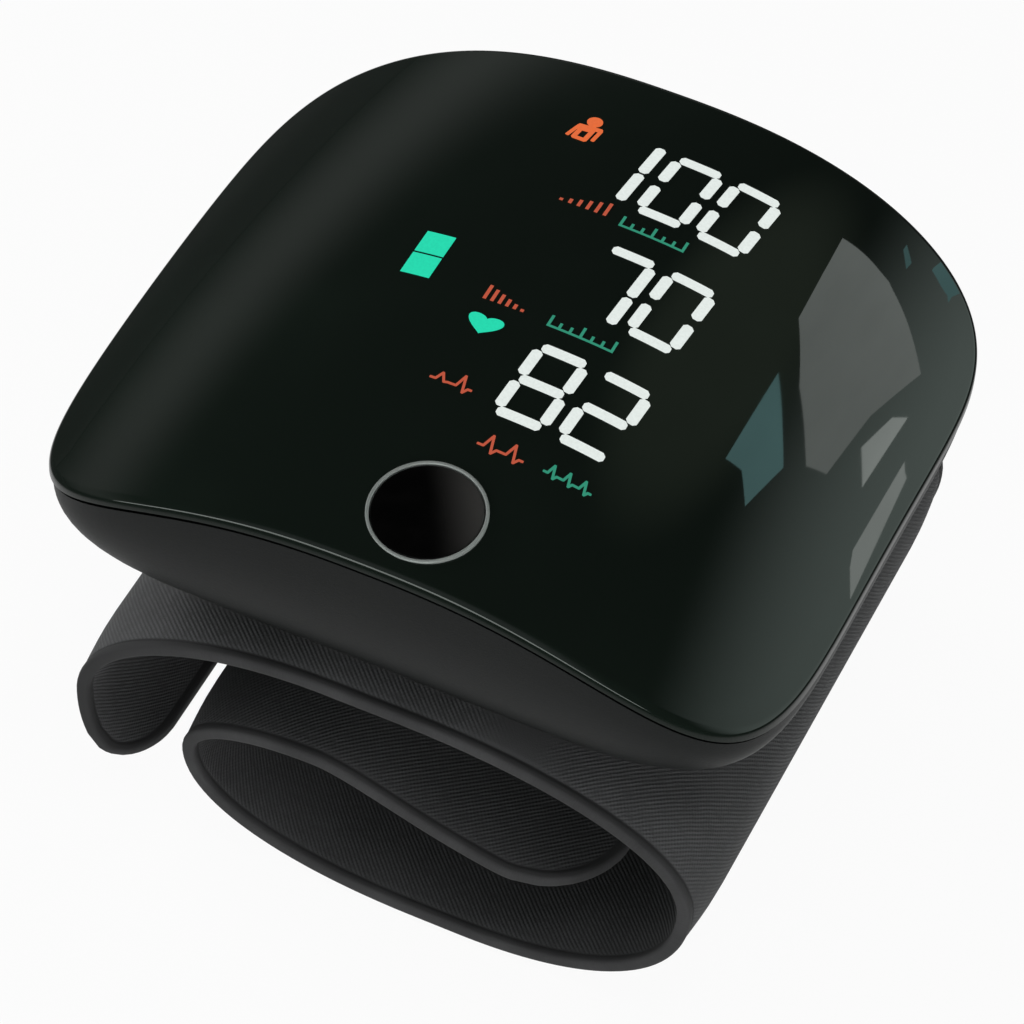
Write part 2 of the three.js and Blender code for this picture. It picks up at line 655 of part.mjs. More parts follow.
function wrapBladder() {
  const places = run([bendTop, BEND_SPLIT, 1, 4], [bendBottom, 0, 1, 9], [base, 0, 1, 1]);
  return sheet(places, BLADDER_DEPTH, BLADDER_DEPTH + BLADDER_THICK, BLADDER_WIDTH);
}

function hookStrip() {
  const depth = CUFF_THICK + LAYER_GAP;
  return sheet(run([tongue, HOOK_FROM, HOOK_TO, 4]), depth, depth + HOOK_THICK, HOOK_WIDTH);
}

// Scene

const group = new THREE.Group();

function add(name, geometry, [color, roughness, metalness = 0], parent = group) {
  const mesh = new THREE.Mesh(geometry, new THREE.MeshStandardMaterial({ color, roughness, metalness }));
  mesh.name = name;
  parent.add(mesh);
  return mesh;
}

const GLOSS_BLACK = ['#0a0d0c', 0.06];
const CASE_GREY = ['#2f3130', 0.55];
const CLOTH = ['#33343a', 0.9];
const LINING = ['#222326', 0.92];
const STEEL = ['#b9bcbd', 0.35, 1];
const SILVER = ['#8f9592', 0.25, 1];
const WHITE_PLASTIC = ['#d8dad6', 0.5];
const BLACK_PLASTIC = ['#1c1c1e', 0.5];
const BOARD_GREEN = ['#1d5a38', 0.45];
const RUBBER_CLEAR = ['#c9c6bd', 0.6];
const FOIL = ['#aab0b6', 0.3, 0.8];
const BLADDER = ['#55585c', 0.7];

add('top_cover', topCover(), GLOSS_BLACK);
add('lower_case', lowerCase(), CASE_GREY);

group.add(seat);
add('button_ring', buttonRing(), SILVER, seat);
add('button_cap', buttonCap(), GLOSS_BLACK, seat);

fourCorners(BOSS_X, BOSS_Y).forEach(([x, y], i) => {
  const mesh = add(`case_screw_${i + 1}`, screw(CASE_SCREW_L), STEEL);
  mesh.position.set(x, y, CASE_BOTTOM + SCREW_HEAD_H);
});

fourCorners(STANDOFF_X, STANDOFF_Y).forEach(([x, y], i) => {
  const mesh = add(`board_screw_${i + 1}`, screw(BOARD_SCREW_L), STEEL);
  mesh.rotation.x = Math.PI;
  mesh.position.set(x, y, BOARD_SEAT);
});

add('main_board', mainBoard(), BOARD_GREEN);
add('display_guide', displayGuide(), WHITE_PLASTIC);
add('tact_switch', tactSwitch(), BLACK_PLASTIC).position.set(switchAt.x, switchAt.y, 0);
const plungerFoot = switchTop - PLUNGER_PROUD + GAP;
add('switch_plunger', post(PLUNGER_R, plungerFoot, switchTop + PLUNGER_PROUD), WHITE_PLASTIC)
  .position.set(switchAt.x, switchAt.y, 0);

const chipSpan = [-CHIP_SIZE / 2, CHIP_SIZE / 2];
add('controller_chip', block(chipSpan, chipSpan, [-CHIP_H, 0]), BLACK_PLASTIC)
  .position.set(...CHIP_AT, UNDER_BOARD);
add('usb_socket', usbSocket(), STEEL).position.set(0, socketMouth, socketZ);

const [batteryL, batteryW, batteryH] = BATTERY;
add('battery', slab(roundedRectangle(batteryL, batteryW, BATTERY_CORNER), 0, batteryH), FOIL)
  .position.set(BATTERY_X, BATTERY_Y, SEAT);

const pump = new THREE.Group();
pump.position.set(PUMP_LEFT, PUMP_Y, PUMP_Z);
pump.rotation.y = Math.PI / 2;
group.add(pump);
add('pump_head', pumpHead(), BLACK_PLASTIC, pump);
add('motor_can', motorCan(), STEEL, pump).position.z = PUMP_HEAD_L + GAP;
add('pump_rotor', pumpRotor(), STEEL, pump).position.z = PUMP_HEAD_L + GAP;
add('pump_tube', tube(AIR_TUBE_R, OUTLET_R + GAP, PUMP_TUBE_L - 2 * GAP), RUBBER_CLEAR, pump)
  .position.z = GAP - PUMP_TUBE_L;

add('air_manifold', airManifold(), WHITE_PLASTIC);
const sensorSpan = [-SENSOR_SIZE / 2, SENSOR_SIZE / 2];
add('pressure_sensor', block(sensorSpan, sensorSpan, [-SENSOR_H, 0]), BLACK_PLASTIC)
  .position.set(MANIFOLD_X, NOZZLE_Y, UNDER_BOARD);
const sensorTubeZ = SEAT + MANIFOLD_H + GAP;
const sensorTubeL = UNDER_BOARD - SENSOR_H - GAP - sensorTubeZ;
add('sensor_tube', tube(SENSOR_TUBE_R, SENSOR_TUBE_BORE, sensorTubeL), RUBBER_CLEAR)
  .position.set(MANIFOLD_X, NOZZLE_Y, sensorTubeZ);

add('valve_body', valveBody(), STEEL).position.set(MANIFOLD_X, VALVE_Y, SEAT);
add('valve_plunger', post(VALVE_PLUNGER_R, 0, VALVE_PLUNGER_H), STEEL)
  .position.set(MANIFOLD_X, VALVE_Y, SEAT + VALVE_FLOOR + GAP);

add('cuff_plate', cuffPlate(), BLACK_PLASTIC);
add('cuff_upper_cover', upperCover(), CLOTH);
add('cuff_upper_lining', liningCloth(upperRun()), LINING);
add('cuff_upper_bladder', upperBladder(), BLADDER);
add('cuff_tail_cover', roundTail(coverCloth(tailRun())), CLOTH);
add('cuff_tail_lining', roundTail(liningCloth(tailRun())), LINING);
add('cuff_bend_cover', coverCloth(bendRun()), CLOTH);
add('cuff_base_cover', coverCloth(baseRun()), CLOTH);
add('cuff_roll_cover', coverCloth(rollRun()), CLOTH);
add('cuff_tongue_cover', roundTongue(coverCloth(tongueRun())), CLOTH);
add('cuff_wrap_lining', roundedWrapLining(), LINING);
add('cuff_wrap_bladder', wrapBladder(), BLADDER);
add('hook_strip', hookStrip(), BLACK_PLASTIC);

export default group;
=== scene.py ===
"""Looks of a wrist blood pressure monitor: case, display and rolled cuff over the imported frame."""

import json
import math
from bisect import bisect_right
from contextlib import contextmanager

import bpy
from bpy.props import FloatProperty, FloatVectorProperty, PointerProperty
from mathutils import Matrix, Vector


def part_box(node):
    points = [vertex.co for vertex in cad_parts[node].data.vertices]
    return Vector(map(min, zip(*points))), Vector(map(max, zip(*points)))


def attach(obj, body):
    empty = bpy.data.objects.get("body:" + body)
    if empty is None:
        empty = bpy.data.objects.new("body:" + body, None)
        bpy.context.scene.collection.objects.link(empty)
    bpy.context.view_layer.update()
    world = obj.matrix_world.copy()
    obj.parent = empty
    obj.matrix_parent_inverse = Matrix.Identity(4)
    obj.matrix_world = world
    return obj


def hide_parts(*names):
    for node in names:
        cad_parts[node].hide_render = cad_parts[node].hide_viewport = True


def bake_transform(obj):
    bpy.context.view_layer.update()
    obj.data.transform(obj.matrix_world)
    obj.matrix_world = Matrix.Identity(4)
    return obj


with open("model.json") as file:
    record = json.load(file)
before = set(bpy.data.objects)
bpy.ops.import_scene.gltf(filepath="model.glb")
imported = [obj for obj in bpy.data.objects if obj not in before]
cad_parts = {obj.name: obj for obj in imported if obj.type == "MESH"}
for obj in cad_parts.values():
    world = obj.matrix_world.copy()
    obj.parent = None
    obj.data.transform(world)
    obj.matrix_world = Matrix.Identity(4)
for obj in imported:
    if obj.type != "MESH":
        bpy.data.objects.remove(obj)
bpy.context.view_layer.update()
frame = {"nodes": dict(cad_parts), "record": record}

bl_info = {
    "name": "Wrist Monitor",
    "version": (1, 0, 0),
    "blender": (4, 5, 0),
    "location": "View3D > Sidebar > Wrist Monitor",
    "description": "Models the monitor's case, display and cuff over its packed frame",
    "category": "Object",
}

MM = 0.001
COVER_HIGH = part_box("top_cover")[1]
BOWL_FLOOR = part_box("lower_case")[0].z
RING_MIDDLE = sum(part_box("button_ring"), Vector()) / 2


# Settings

def number(name, description, default, **kind):
    """A number that the sidebar shows."""
    return FloatProperty(name=name, description=description, default=default, **kind)


def length(name, description, default):
    """A length in metres."""
    return number(name, description, default, unit="LENGTH", precision=5)


def angle(name, description, degrees):
    """An angle, given in degrees."""
    return number(name, description, math.radians(degrees), subtype="ANGLE")


def colour(name, description, default):
    """A linear colour."""
    return FloatVectorProperty(
        name=name, description=description, default=default, size=3, subtype="COLOR", min=0, max=1)


class CaseSettings(bpy.types.PropertyGroup):
    """Sizes of the arched cover and the bowl under it."""

    arch_drop: length("Arch", "Fall of the cover from its middle to its left and right edges", 14.5 * MM)
    arch_power: number("Arch power", "Above 2, the arch is flatter on top and steeper at its edges", 2.45)
    crown_drop: length("Crown", "Fall of the cover from its middle to its front edge", 3 * MM)
    back_drop: length("Back crown", "Fall of the cover from its middle to its back edge", 2.7 * MM)
    plan_power: number("Plan power", "2 makes an ellipse, more makes squarer corners", 5.3)
    wall: length("Wall", "Thickness of the cover and the bowl", 1.8 * MM)
    lip_height: length("Lip", "Height of the cover's upright edge", 1.3 * MM)
    lip_round: length("Lip round", "Radius between the cover's top and its edge", 0.9 * MM)
    seam: length("Seam", "Shadow gap between the cover and the bowl", 0.4 * MM)
    seam_step: length("Seam step", "How far the bowl's rim stands inside the cover's edge", 0.25 * MM)
    tuck: length("Tuck", "How far the bowl draws in below", 8 * MM)
    fullness: number("Fullness", "2 makes the bowl's side a quarter ellipse, more makes it fuller", 2.4)
    gloss: colour("Cover", "Colour of the gloss cover", (0.0056, 0.0092, 0.0068))
    matte: colour("Bowl", "Colour of the matte bowl", (0.0083, 0.0093, 0.0090))


class ButtonSettings(bpy.types.PropertyGroup):
    """Sizes of the start button and its ring."""

    radius: length("Radius", "Radius of the button's cap", 5.25 * MM)
    dish: length("Dish", "Depth of the hollow in the cap", 0.25 * MM)
    ring_radius: length("Ring radius", "Outer radius of the silver ring", 5.7 * MM)
    ring_width: length("Ring width", "Width of the silver ring", 0.33 * MM)
    proud: length("Proud", "How far the ring stands above the cover", 0.1 * MM)
    silver: colour("Ring", "Colour of the ring", (0.31, 0.335, 0.32))


class DisplaySettings(bpy.types.PropertyGroup):
    """Sizes and colours of the lit display."""

    digit_width: length("Digit width", "Width of one digit", 5.8 * MM)
    digit_height: length("Digit height", "Height of one digit", 10 * MM)
    stroke: length("Stroke", "Width of a digit's segment", 1.12 * MM)
    pitch: length("Pitch", "From one digit to the next", 6.65 * MM)
    lean: number("Lean", "How far the digits lean to the right, for each unit of height", 0.06)
    segment_gap: length("Segment gap", "Dark gap between a digit's segments", 0.25 * MM)
    leading_one: length("Leading 1", "How far a leading 1 moves away from the next digit", 0.29 * MM)
    white: colour("Digits", "Colour of the digits", (0.80, 0.86, 0.83))
    orange: colour("Marks", "Colour of the warm marks", (0.52, 0.090, 0.045))
    signal: colour("Figure", "Colour of the seated figure", (0.80, 0.15, 0.040))
    green: colour("Units", "Colour of the green marks", (0.027, 0.28, 0.175))
    mint: colour("Signs", "Colour of the heart and battery", (0.014, 0.72, 0.44))


class CuffSettings(bpy.types.PropertyGroup):
    """Sizes and colours of the padded band."""

    width: length("Width", "Width of the band", 65 * MM)
    forward: length("Forward", "How far the band sits towards the start button", 1.35 * MM)
    thick: length("Thickness", "Thickness of the band where it is padded", 2.4 * MM)
    edge_thick: length("Edge", "Thickness of the band's pressed edge", 1.4 * MM)
    edge_round: length("Edge round", "Radius of the pressed edge's corners", 0.35 * MM)
    seam_inset: length("Seam inset", "From the band's edge to the seam beside it", 1.05 * MM)
    seam_width: length("Seam width", "Width of the seam", 0.35 * MM)
    seam_depth: length("Seam depth", "Depth of the seam", 0.09 * MM)
    swell: length("Swell", "From the seam to where the padding is full", 7 * MM)
    hook_thick: length("Hook tape", "Thickness of the hook tape under the tongue", 0.8 * MM)
    tongue_corner: length("Tongue corner", "Corner radius of the inner end", 10 * MM)
    tail_corner: length("Tail corner", "Corner radius of the outer end", 8 * MM)
    twill: length("Twill", "Width of one twill rib", 0.56 * MM)
    cloth: colour("Cloth", "Colour of the outer cloth", (0.068, 0.0685, 0.070))
    lining: colour("Lining", "Colour of the inner cloth", (0.042, 0.0423, 0.0433))
    rim: colour("Rim", "Colour of the pressed edge", (0.042, 0.042, 0.043))


class StageSettings(bpy.types.PropertyGroup):
    """Camera place and angles, and the floor's colour."""

    azimuth: angle("Azimuth", "Camera angle round the object", 22.071)
    elevation: angle("Elevation", "Camera angle above the horizon", 47.876)
    roll: angle("Roll", "Camera turn about its own axis", 4)
    place: FloatVectorProperty(
        name="Place", description="Where the camera stands", default=(0.12485, -0.30813, 0.39101),
        subtype="TRANSLATION")
    lens: number("Lens", "Focal length in millimetres on a 36 mm sensor", 175.78)
    floor: colour("Floor", "Colour of the floor under the object", (0.55, 0.55, 0.55))
    far_floor: colour("Far floor", "Colour that the floor fades to", (0.20, 0.20, 0.20))


# Shader nodes

class Value:
    """A number socket; Python's operators on it add Math nodes."""

    def __init__(self, paint, socket):
        self.paint = paint
        self.socket = socket

    def math(self, operation, *terms):
        return self.paint.value("ShaderNodeMath", dict(enumerate(terms)), operation=operation)

    def __add__(self, other):
        return self.math("ADD", self, other)

    def __sub__(self, other):
        return self.math("SUBTRACT", self, other)

    def __rsub__(self, other):
        return self.math("SUBTRACT", other, self)

    def __mul__(self, other):
        return self.math("MULTIPLY", self, other)

    def sine(self):
        return self.math("SINE", self)

    def absolute(self):
        return self.math("ABSOLUTE", self)

    def larger(self, other):
        return self.math("MAXIMUM", self, other)

    def step(self, low, high):
        """0 below low, 1 above high and a smooth rise between them."""
        sockets = {"Value": self, "From Min": low, "From Max": high}
        return self.paint.value("ShaderNodeMapRange", sockets, interpolation_type="SMOOTHSTEP")


class Paint:
    """The nodes of one material, or of the world."""

    def __init__(self, tree):
        self.tree = tree

    def node(self, kind, sockets=None, **settings):
        made = self.tree.nodes.new(kind)
        for name, setting in settings.items():
            setattr(made, name, setting)
        for key, given in (sockets or {}).items():
            self.feed(made.inputs[key], given)
        return made

    def feed(self, socket, given):
        if isinstance(given, Value):
            given = given.socket
        if isinstance(given, bpy.types.NodeSocket):
            self.tree.links.new(given, socket)
        else:
            socket.default_value = given

    def value(self, kind, sockets=None, output=0, **settings):
        return Value(self, self.node(kind, sockets, **settings).outputs[output])

    def mix(self, share, first, second):
        """Colour between two, by a share from 0 to 1."""
        sockets = {0: share, 6: rgba(first), 7: rgba(second)}
        return self.node("ShaderNodeMix", sockets, data_type="RGBA").outputs[2]

    def shade(self, share, base, low, high):
        """One colour from darker to lighter, by a share from 0 to 1."""
        return self.mix(share, tinted(base, low), tinted(base, high))

    def place(self):
        """Object coordinates."""
        return self.node("ShaderNodeTexCoord").outputs["Object"]

    def split(self, vector, axes):
        """The parts of a vector along the named axes."""
        parts = self.node("ShaderNodeSeparateXYZ", {"Vector": vector})
        return [Value(self, parts.outputs[axis]) for axis in axes]

    def noise(self, scale, detail=3, vector=None):
        """Noise from 0 to 1, with scale in cells per metre."""
        sockets = {"Vector": vector or self.place(), "Scale": scale, "Detail": detail}
        return self.value("ShaderNodeTexNoise", sockets)

    def cells(self, scale, **settings):
        """Distances in a pattern of cells, with scale in cells per metre."""
        return self.value("ShaderNodeTexVoronoi", {"Vector": self.place(), "Scale": scale}, **settings)

    def bump(self, height, distance, strength=1):
        """A normal raised by a height from 0 to 1 over a distance in metres."""
        sockets = {"Height": height, "Distance": distance, "Strength": strength}
        return self.node("ShaderNodeBump", sockets).outputs["Normal"]

    def surface(self, sockets):
        """Sets the material's own shader."""
        for key, given in sockets.items():
            self.feed(self.tree.nodes["Principled BSDF"].inputs[key], given)

    def grained(self, grain, base, rough, least, sockets):
        """Sets a shader whose roughness follows one grain."""
        self.surface({"Base Color": base, "Roughness": grain * rough + least, **sockets})


def rgba(given):
    """A colour with full alpha, or the socket that was given."""
    return given if isinstance(given, bpy.types.NodeSocket) else (*given, 1)


def tinted(given, factor):
    """A colour made lighter or darker."""
    return tuple(min(1, part * factor) for part in given)


def material(name, paint_it, *values):
    """The named finish, painted when it is first asked for; the frame's own materials lack the prefix."""
    name = f"finish_{name}"
    found = bpy.data.materials.get(name)
    if found is None:
        found = bpy.data.materials.new(name)
        found.use_nodes = True
        paint_it(Paint(found.node_tree), *values)
    return found


# Finishes

def gloss_black(paint, base):
    """Deep gloss with the faint smears and dust that a polished cover has."""
    smear = paint.noise(55, 5).step(0.45, 0.75)
    dust = paint.noise(2600, 2).step(0.70, 0.80)
    paint.surface({
        "Base Color": paint.shade(dust * 0.3 + smear * 0.3, base, 0.9, 1.5),
        "Roughness": smear * 0.02 + dust * 0.04 + 0.015,
        "IOR": 1.42,
    })


def satin_edge(paint, base):
    """The cover's cut edge, polished less than its top."""
    grain = paint.noise(6000)
    paint.grained(grain, paint.shade(grain, base, 0.9, 1.2), 0.04, 0.26, {"IOR": 1.25})


def case_grey(paint, base):
    """Fine spark-eroded moulding."""
    grain = paint.noise(5200)
    cloud = paint.noise(60)
    shades = paint.shade(cloud * 0.6 + grain * 0.3, base, 0.85, 1.2)
    others = {"Specular IOR Level": 0.09, "Normal": paint.bump(grain, 0.05 * MM, 0.5)}
    paint.grained(grain, shades, 0.15, 0.42, others)


def button_black(paint):
    """Gloss black with faint finger marks, and a painted sheen that lightens it to a warm grey towards its
    right.
    """
    marks = paint.noise(420, 5).step(0.35, 0.7)
    x, y = paint.split(paint.place(), "XY")
    # painted sheen: the cap's colour turns to warm grey towards its right, where a reflection would lie
    shade = ((x - RING_MIDDLE.x) * 0.85 + (y - RING_MIDDLE.y) * 0.53).step(0, 6.5 * MM)
    black = paint.mix(marks, (0.0006, 0.0006, 0.0006), (0.0014, 0.0013, 0.0013))
    paint.grained(marks, paint.mix(shade, black, (0.042, 0.041, 0.039)), 0.05, 0.05, {"IOR": 1.3})


def silver_trim(paint, base):
    """Silver lacquer with a fine metal grain."""
    grain = paint.noise(9000, 2)
    paint.grained(grain, paint.shade(grain, base, 0.85, 1.1), 0.12, 0.34, {"Metallic": grain * 0.2 + 0.25})


def lit_display(paint, light):
    """Light from behind the cover, with the grain of its diffuser."""
    grain = paint.noise(3800, 2)
    lit = paint.shade(grain.step(0.2, 0.8), light, 0.90, 1)
    paint.grained(grain, (0.01, 0.01, 0.01, 1), 0.1, 0.25, {"Emission Color": lit, "Emission Strength": 1.0})


def twill(paint, pitch, lean, seam, meeting, cloth, lining, rim):
    """Fine twill that leans one way, darker inside and, as painted shade, on the outside past the roll, flat
    where two leans meet and plain beyond the seam.
    """
    uv = paint.node("ShaderNodeUVMap", uv_map="band").outputs["UV"]
    across, along = paint.split(uv, "XY")
    edge, inner = (
        paint.value("ShaderNodeAttribute", output="Fac", attribute_name=name) for name in ("edge", "inner"))
    turn = 2 * math.pi / pitch
    wander = paint.noise(500, 3, uv) * 2.2
    rib = ((across * lean - along) * turn + wander).sine() * 0.5 + 0.5
    yarn = ((across * (0.9 * lean) + along * 1.3) * turn + wander).sine() * 0.5 + 0.5
    fuzz = paint.noise(7000, 3, uv)
    wear = paint.noise(130, 4, uv).step(0.3, 0.75)
    clear = paint.noise(1100, 2, uv).step(0.25, 0.65)
    woven = edge.step(seam, seam + 0.2 * MM)
    stitched = 1 - (edge - seam).absolute().step(0.05 * MM, 0.3 * MM)
    flat = 1 - (along - meeting).absolute().step(0.5 * MM, 7 * MM)
    raised = (rib * 0.75 + yarn * 0.25) * (clear * 0.7 + 0.3) * (1 - flat) + flat * 0.33
    height = raised * woven + fuzz * 0.3
    light = (raised * 0.5 + fuzz * 0.35 + wear * 0.2) * woven
    outside = paint.shade(light, cloth, 0.68, 1.45)
    inside = paint.shade(light, lining, 0.65, 1.50)
    past_curl = along.step(15 * MM, 45 * MM)
    pale = (fuzz * 0.6 + wear * 0.4) * (past_curl * 0.8 + 0.2)
    edging = paint.shade(pale, rim, 0.62, 1.38)
    # inner is 1 on the lining and past the roll, where the lining colour on the outer face is painted shade
    cover = paint.mix(woven, edging, paint.mix(inner, outside, inside))
    paint.surface({
        "Base Color": paint.mix(stitched * (0.5 - inner * 0.42), cover, tinted(lining, 0.5)),
        "Roughness": fuzz * 0.15 + 0.75,
        "Specular IOR Level": 0.12,
        "Sheen Weight": 0.05,
        "Sheen Roughness": 0.5,
        "Normal": paint.bump(height, 0.11 * MM, 0.5),
    })


def hook_tape(paint):
    """Rows of stiff hooks on black tape."""
    hooks = paint.cells(1500)
    shades = paint.mix(hooks, (0.03, 0.03, 0.032), (0.008, 0.008, 0.009))
    paint.grained(hooks, shades, 0.2, 0.5, {"Normal": paint.bump(hooks, 0.25 * MM)})


def zinc(paint):
    """Plated steel with fine drawing lines."""
    lines = paint.noise(2500, 4)
    shades = paint.mix(lines, (0.48, 0.49, 0.50), (0.66, 0.67, 0.68))
    paint.grained(lines, shades, 0.2, 0.25, {"Metallic": 1.0})


def board_green(paint):
    """Solder mask over copper runs."""
    runs = paint.cells(420, distance="CHEBYCHEV", feature="F1").step(0.35, 0.42)
    grain = paint.noise(1800)
    shades = paint.mix(runs * 0.7 + grain * 0.3, (0.012, 0.10, 0.045), (0.03, 0.20, 0.085))
    paint.grained(grain, shades, 0.1, 0.35, {"Normal": paint.bump(runs, 0.04 * MM)})


def moulded(paint, base):
    """Plain moulded plastic with a light grain."""
    grain = paint.noise(3500)
    cloud = paint.noise(120, 2)
    shades = paint.shade(grain * 0.5 + cloud * 0.5, base, 0.85, 1.12)
    paint.grained(grain, shades, 0.15, 0.42, {"Normal": paint.bump(grain, 0.03 * MM)})


def foil(paint):
    """Crinkled aluminium pouch."""
    crease = paint.cells(260, feature="DISTANCE_TO_EDGE").step(0.0, 0.12)
    shades = paint.mix(crease, (0.45, 0.47, 0.50), (0.64, 0.66, 0.69))
    paint.grained(crease, shades, -0.1, 0.42, {"Metallic": 0.85, "Normal": paint.bump(crease, 0.08 * MM)})


def silicone(paint):
    """Milky rubber tube."""
    milk = paint.noise(700)
    shades = paint.mix(milk, (0.55, 0.53, 0.48), (0.72, 0.70, 0.65))
    paint.grained(milk, shades, 0.2, 0.45, {"Subsurface Weight": 0.2})


# Modelling

def only(piece):
    """Makes one object the only selected and active one."""
    bpy.ops.object.select_all(action="DESELECT")
    piece.select_set(True)
    bpy.context.view_layer.objects.active = piece


def named(name):
    """Names the active object and its mesh."""
    piece = bpy.context.object
    piece.name = piece.data.name = name
    return piece


def added(name, primitive, **settings):
    """Adds a mesh primitive, with nothing else selected."""
    bpy.ops.object.select_all(action="DESELECT")
    primitive(**settings)
    return named(name)


@contextmanager
def editing(piece):
    """Edit mode, with the whole of one piece selected."""
    only(piece)
    bpy.ops.object.mode_set(mode="EDIT")
    bpy.ops.mesh.select_all(action="SELECT")
    yield
    bpy.ops.object.mode_set(mode="OBJECT")


def extruded(piece, levels):
    """Extrudes a flat primitive one step up for each level; z then counts the levels."""
    with editing(piece):
        for _ in range(levels):
            bpy.ops.mesh.extrude_region_move(TRANSFORM_OT_translate={"value": (0, 0, 1)})
    return piece


def closed(piece, smooth_angle=35):
    """Turns all faces outwards and smooths all but the sharp edges."""
    with editing(piece):
        bpy.ops.mesh.normals_make_consistent(inside=False)
    bpy.ops.object.shade_smooth_by_angle(angle=math.radians(smooth_angle))


def finished(piece, kind, **settings):
    """Adds a modifier and applies it."""
    only(piece)
    modifier = piece.modifiers.new(kind.lower(), kind)
    for name, setting in settings.items():
        setattr(modifier, name, setting)
    bpy.ops.object.modifier_apply(modifier=modifier.name)


def cut_away(piece, cutter):
    """Cuts one object out of another and removes the cutter."""
    finished(piece, "BOOLEAN", operation="DIFFERENCE", object=cutter, solver="EXACT")
    bpy.data.objects.remove(cutter)


def applied(piece):
    """Puts an object's place, turn and size into its mesh."""
    only(piece)
    bpy.ops.object.transform_apply(location=True, rotation=True, scale=True)


def joined(name, pieces):
    """Makes several objects one."""
    only(pieces[0])
    for piece in pieces:
        piece.select_set(True)
    bpy.ops.object.join()
    return named(name)


def painted(piece, finish, body, slot, *nodes):
    """Gives a piece its finish, its body and the nodes that it stands for."""
    piece.data.materials.clear()
    piece.data.materials.append(finish)
    if body:
        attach(piece, body)
    if nodes:
        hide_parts(*nodes)


# Cover and bowl

class CaseForm:
    """The case's surfaces, worked out from its settings and the frame."""

    def __init__(self, case):
        self.case = case
        self.half = Vector((COVER_HIGH.x, COVER_HIGH.y))
        self.top = COVER_HIGH.z

    def crown(self, y):
        return self.case.back_drop if y > 0 else self.case.crown_drop

    def height(self, x, y):
        """Height of the cover's top."""
        arch = abs(x / self.half.x) ** self.case.arch_power
        crown = (y / self.half.y) ** 2
        return self.top - self.case.arch_drop * arch - self.crown(y) * crown

    def fall(self, x, y):
        """Steepness of the cover's top along x and y, downwards."""
        case = self.case
        arch = case.arch_power * abs(x / self.half.x) ** (case.arch_power - 1) / self.half.x
        crown = 2 * y / self.half.y ** 2
        return Vector((math.copysign(case.arch_drop * arch, x), self.crown(y) * crown))

    def plan(self, u, v, inset):
        """Place in plan of a point of the unit square, with the outline drawn in by an inset."""
        power = self.case.plan_power
        reach = max(abs(u), abs(v))
        if reach == 0:
            return 0.0, 0.0
        norm = (abs(u) ** power + abs(v) ** power) ** (1 / power)
        pull = 1 + (reach / norm - 1) * reach ** 2
        return u * pull * (self.half.x - inset), v * pull * (self.half.y - inset)

    def rim(self, u, v):
        """Height of the outline and the cover's tilt there, towards the outside."""
        reach = max(abs(u), abs(v)) or 1
        x, y = self.plan(u / reach, v / reach, 0)
        power = self.case.plan_power - 1
        outward = Vector((
            math.copysign(abs(x / self.half.x) ** power / self.half.x, x),
            math.copysign(abs(y / self.half.y) ** power / self.half.y, y),
        )).normalized()
        return self.height(x, y), math.atan(max(0.0, self.fall(x, y).dot(outward)))


COVER_CELLS = 96
BOWL_CELLS = 48
LIP_START = 4  # the level at which the cover's lip begins to round
LIP_STEPS = 5
BOWL_STEPS = 14
CUTTER_SIDES = 48
KEEN = 0.998  # the share of the top that the crisp ring beside the lip encloses


def raised_grid(name, cells, levels, place):
    """A grid extruded up its levels, with each vertex put in its place by u, v and level."""
    grid = added(name, bpy.ops.mesh.primitive_grid_add, x_subdivisions=cells, y_subdivisions=cells, size=2)
    extruded(grid, levels)
    for vertex in grid.data.vertices:
        u, v, level = vertex.co
        vertex.co = place(u, v, round(level))
    closed(grid)
    return grid


def cover_piece(form):
    """The cover: a shell with a rounded lip, kept crisp by a ring of faces beside it."""
    case = form.case
    bottom_round = case.lip_round / 5

    def place(u, v, level):
        edge, tilt = form.rim(u, v)
        bottom = edge - case.lip_height
        if level == 0:
            x, y = form.plan(u, v, case.wall)
            return x, y, form.height(x, y) - case.wall / math.cos(tilt)
        if level < LIP_START:
            inset, z = [(case.wall, bottom), (bottom_round, bottom), (0, bottom + bottom_round)][level - 1]
            return *form.plan(u, v, inset), z
        turn = (math.pi / 2 - tilt) * (level - LIP_START) / LIP_STEPS
        inset = case.lip_round * (1 - math.cos(turn))
        middle = edge + case.lip_round * (math.tan(tilt) - 1 / math.cos(tilt))
        if level < LIP_START + LIP_STEPS:
            return *form.plan(u, v, inset), middle + case.lip_round * math.sin(turn)
        reach = max(abs(u), abs(v))
        if 1 - 3 / COVER_CELLS < reach < 1:
            u, v, reach = u * KEEN / reach, v * KEEN / reach, KEEN
        x, y = form.plan(u, v, inset * reach)
        return x, y, form.height(x, y)

    return raised_grid("cover", COVER_CELLS, LIP_START + LIP_STEPS, place)


def satin_sides(cover, finish):
    """Gives the cover's upright faces a finish of their own."""
    upright = 0.25
    cover.data.materials.append(finish)
    for face in cover.data.polygons:
        if face.normal.z < upright:
            face.material_index = 1


def bowl_piece(form):
    """The bowl: a grid raised up its wall, over its rim and down to its floor."""
    case = form.case

    def place(u, v, level):
        seam = form.rim(u, v)[0] - case.lip_height - case.seam
        if level > BOWL_STEPS + 1:
            return *form.plan(u, v, case.seam_step + case.tuck + case.wall), BOWL_FLOOR + case.wall
        if level > BOWL_STEPS:
            return *form.plan(u, v, case.seam_step + case.wall), seam
        turn = math.pi / 2 * (1 - level / BOWL_STEPS)
        out, down = (max(0.0, part) ** (2 / case.fullness) for part in (math.cos(turn), math.sin(turn)))
        inset = case.seam_step + case.tuck * (1 - out)
        return *form.plan(u, v, inset), seam - (seam - BOWL_FLOOR) * down

    return raised_grid("bowl", BOWL_CELLS, BOWL_STEPS + 2, place)


def round_cutter(middle, radius, reach):
    """An upright cylinder to cut with, as far up as down from its middle."""
    return added(
        "cutter", bpy.ops.mesh.primitive_cylinder_add,
        vertices=CUTTER_SIDES, radius=radius, depth=2 * reach, location=middle)


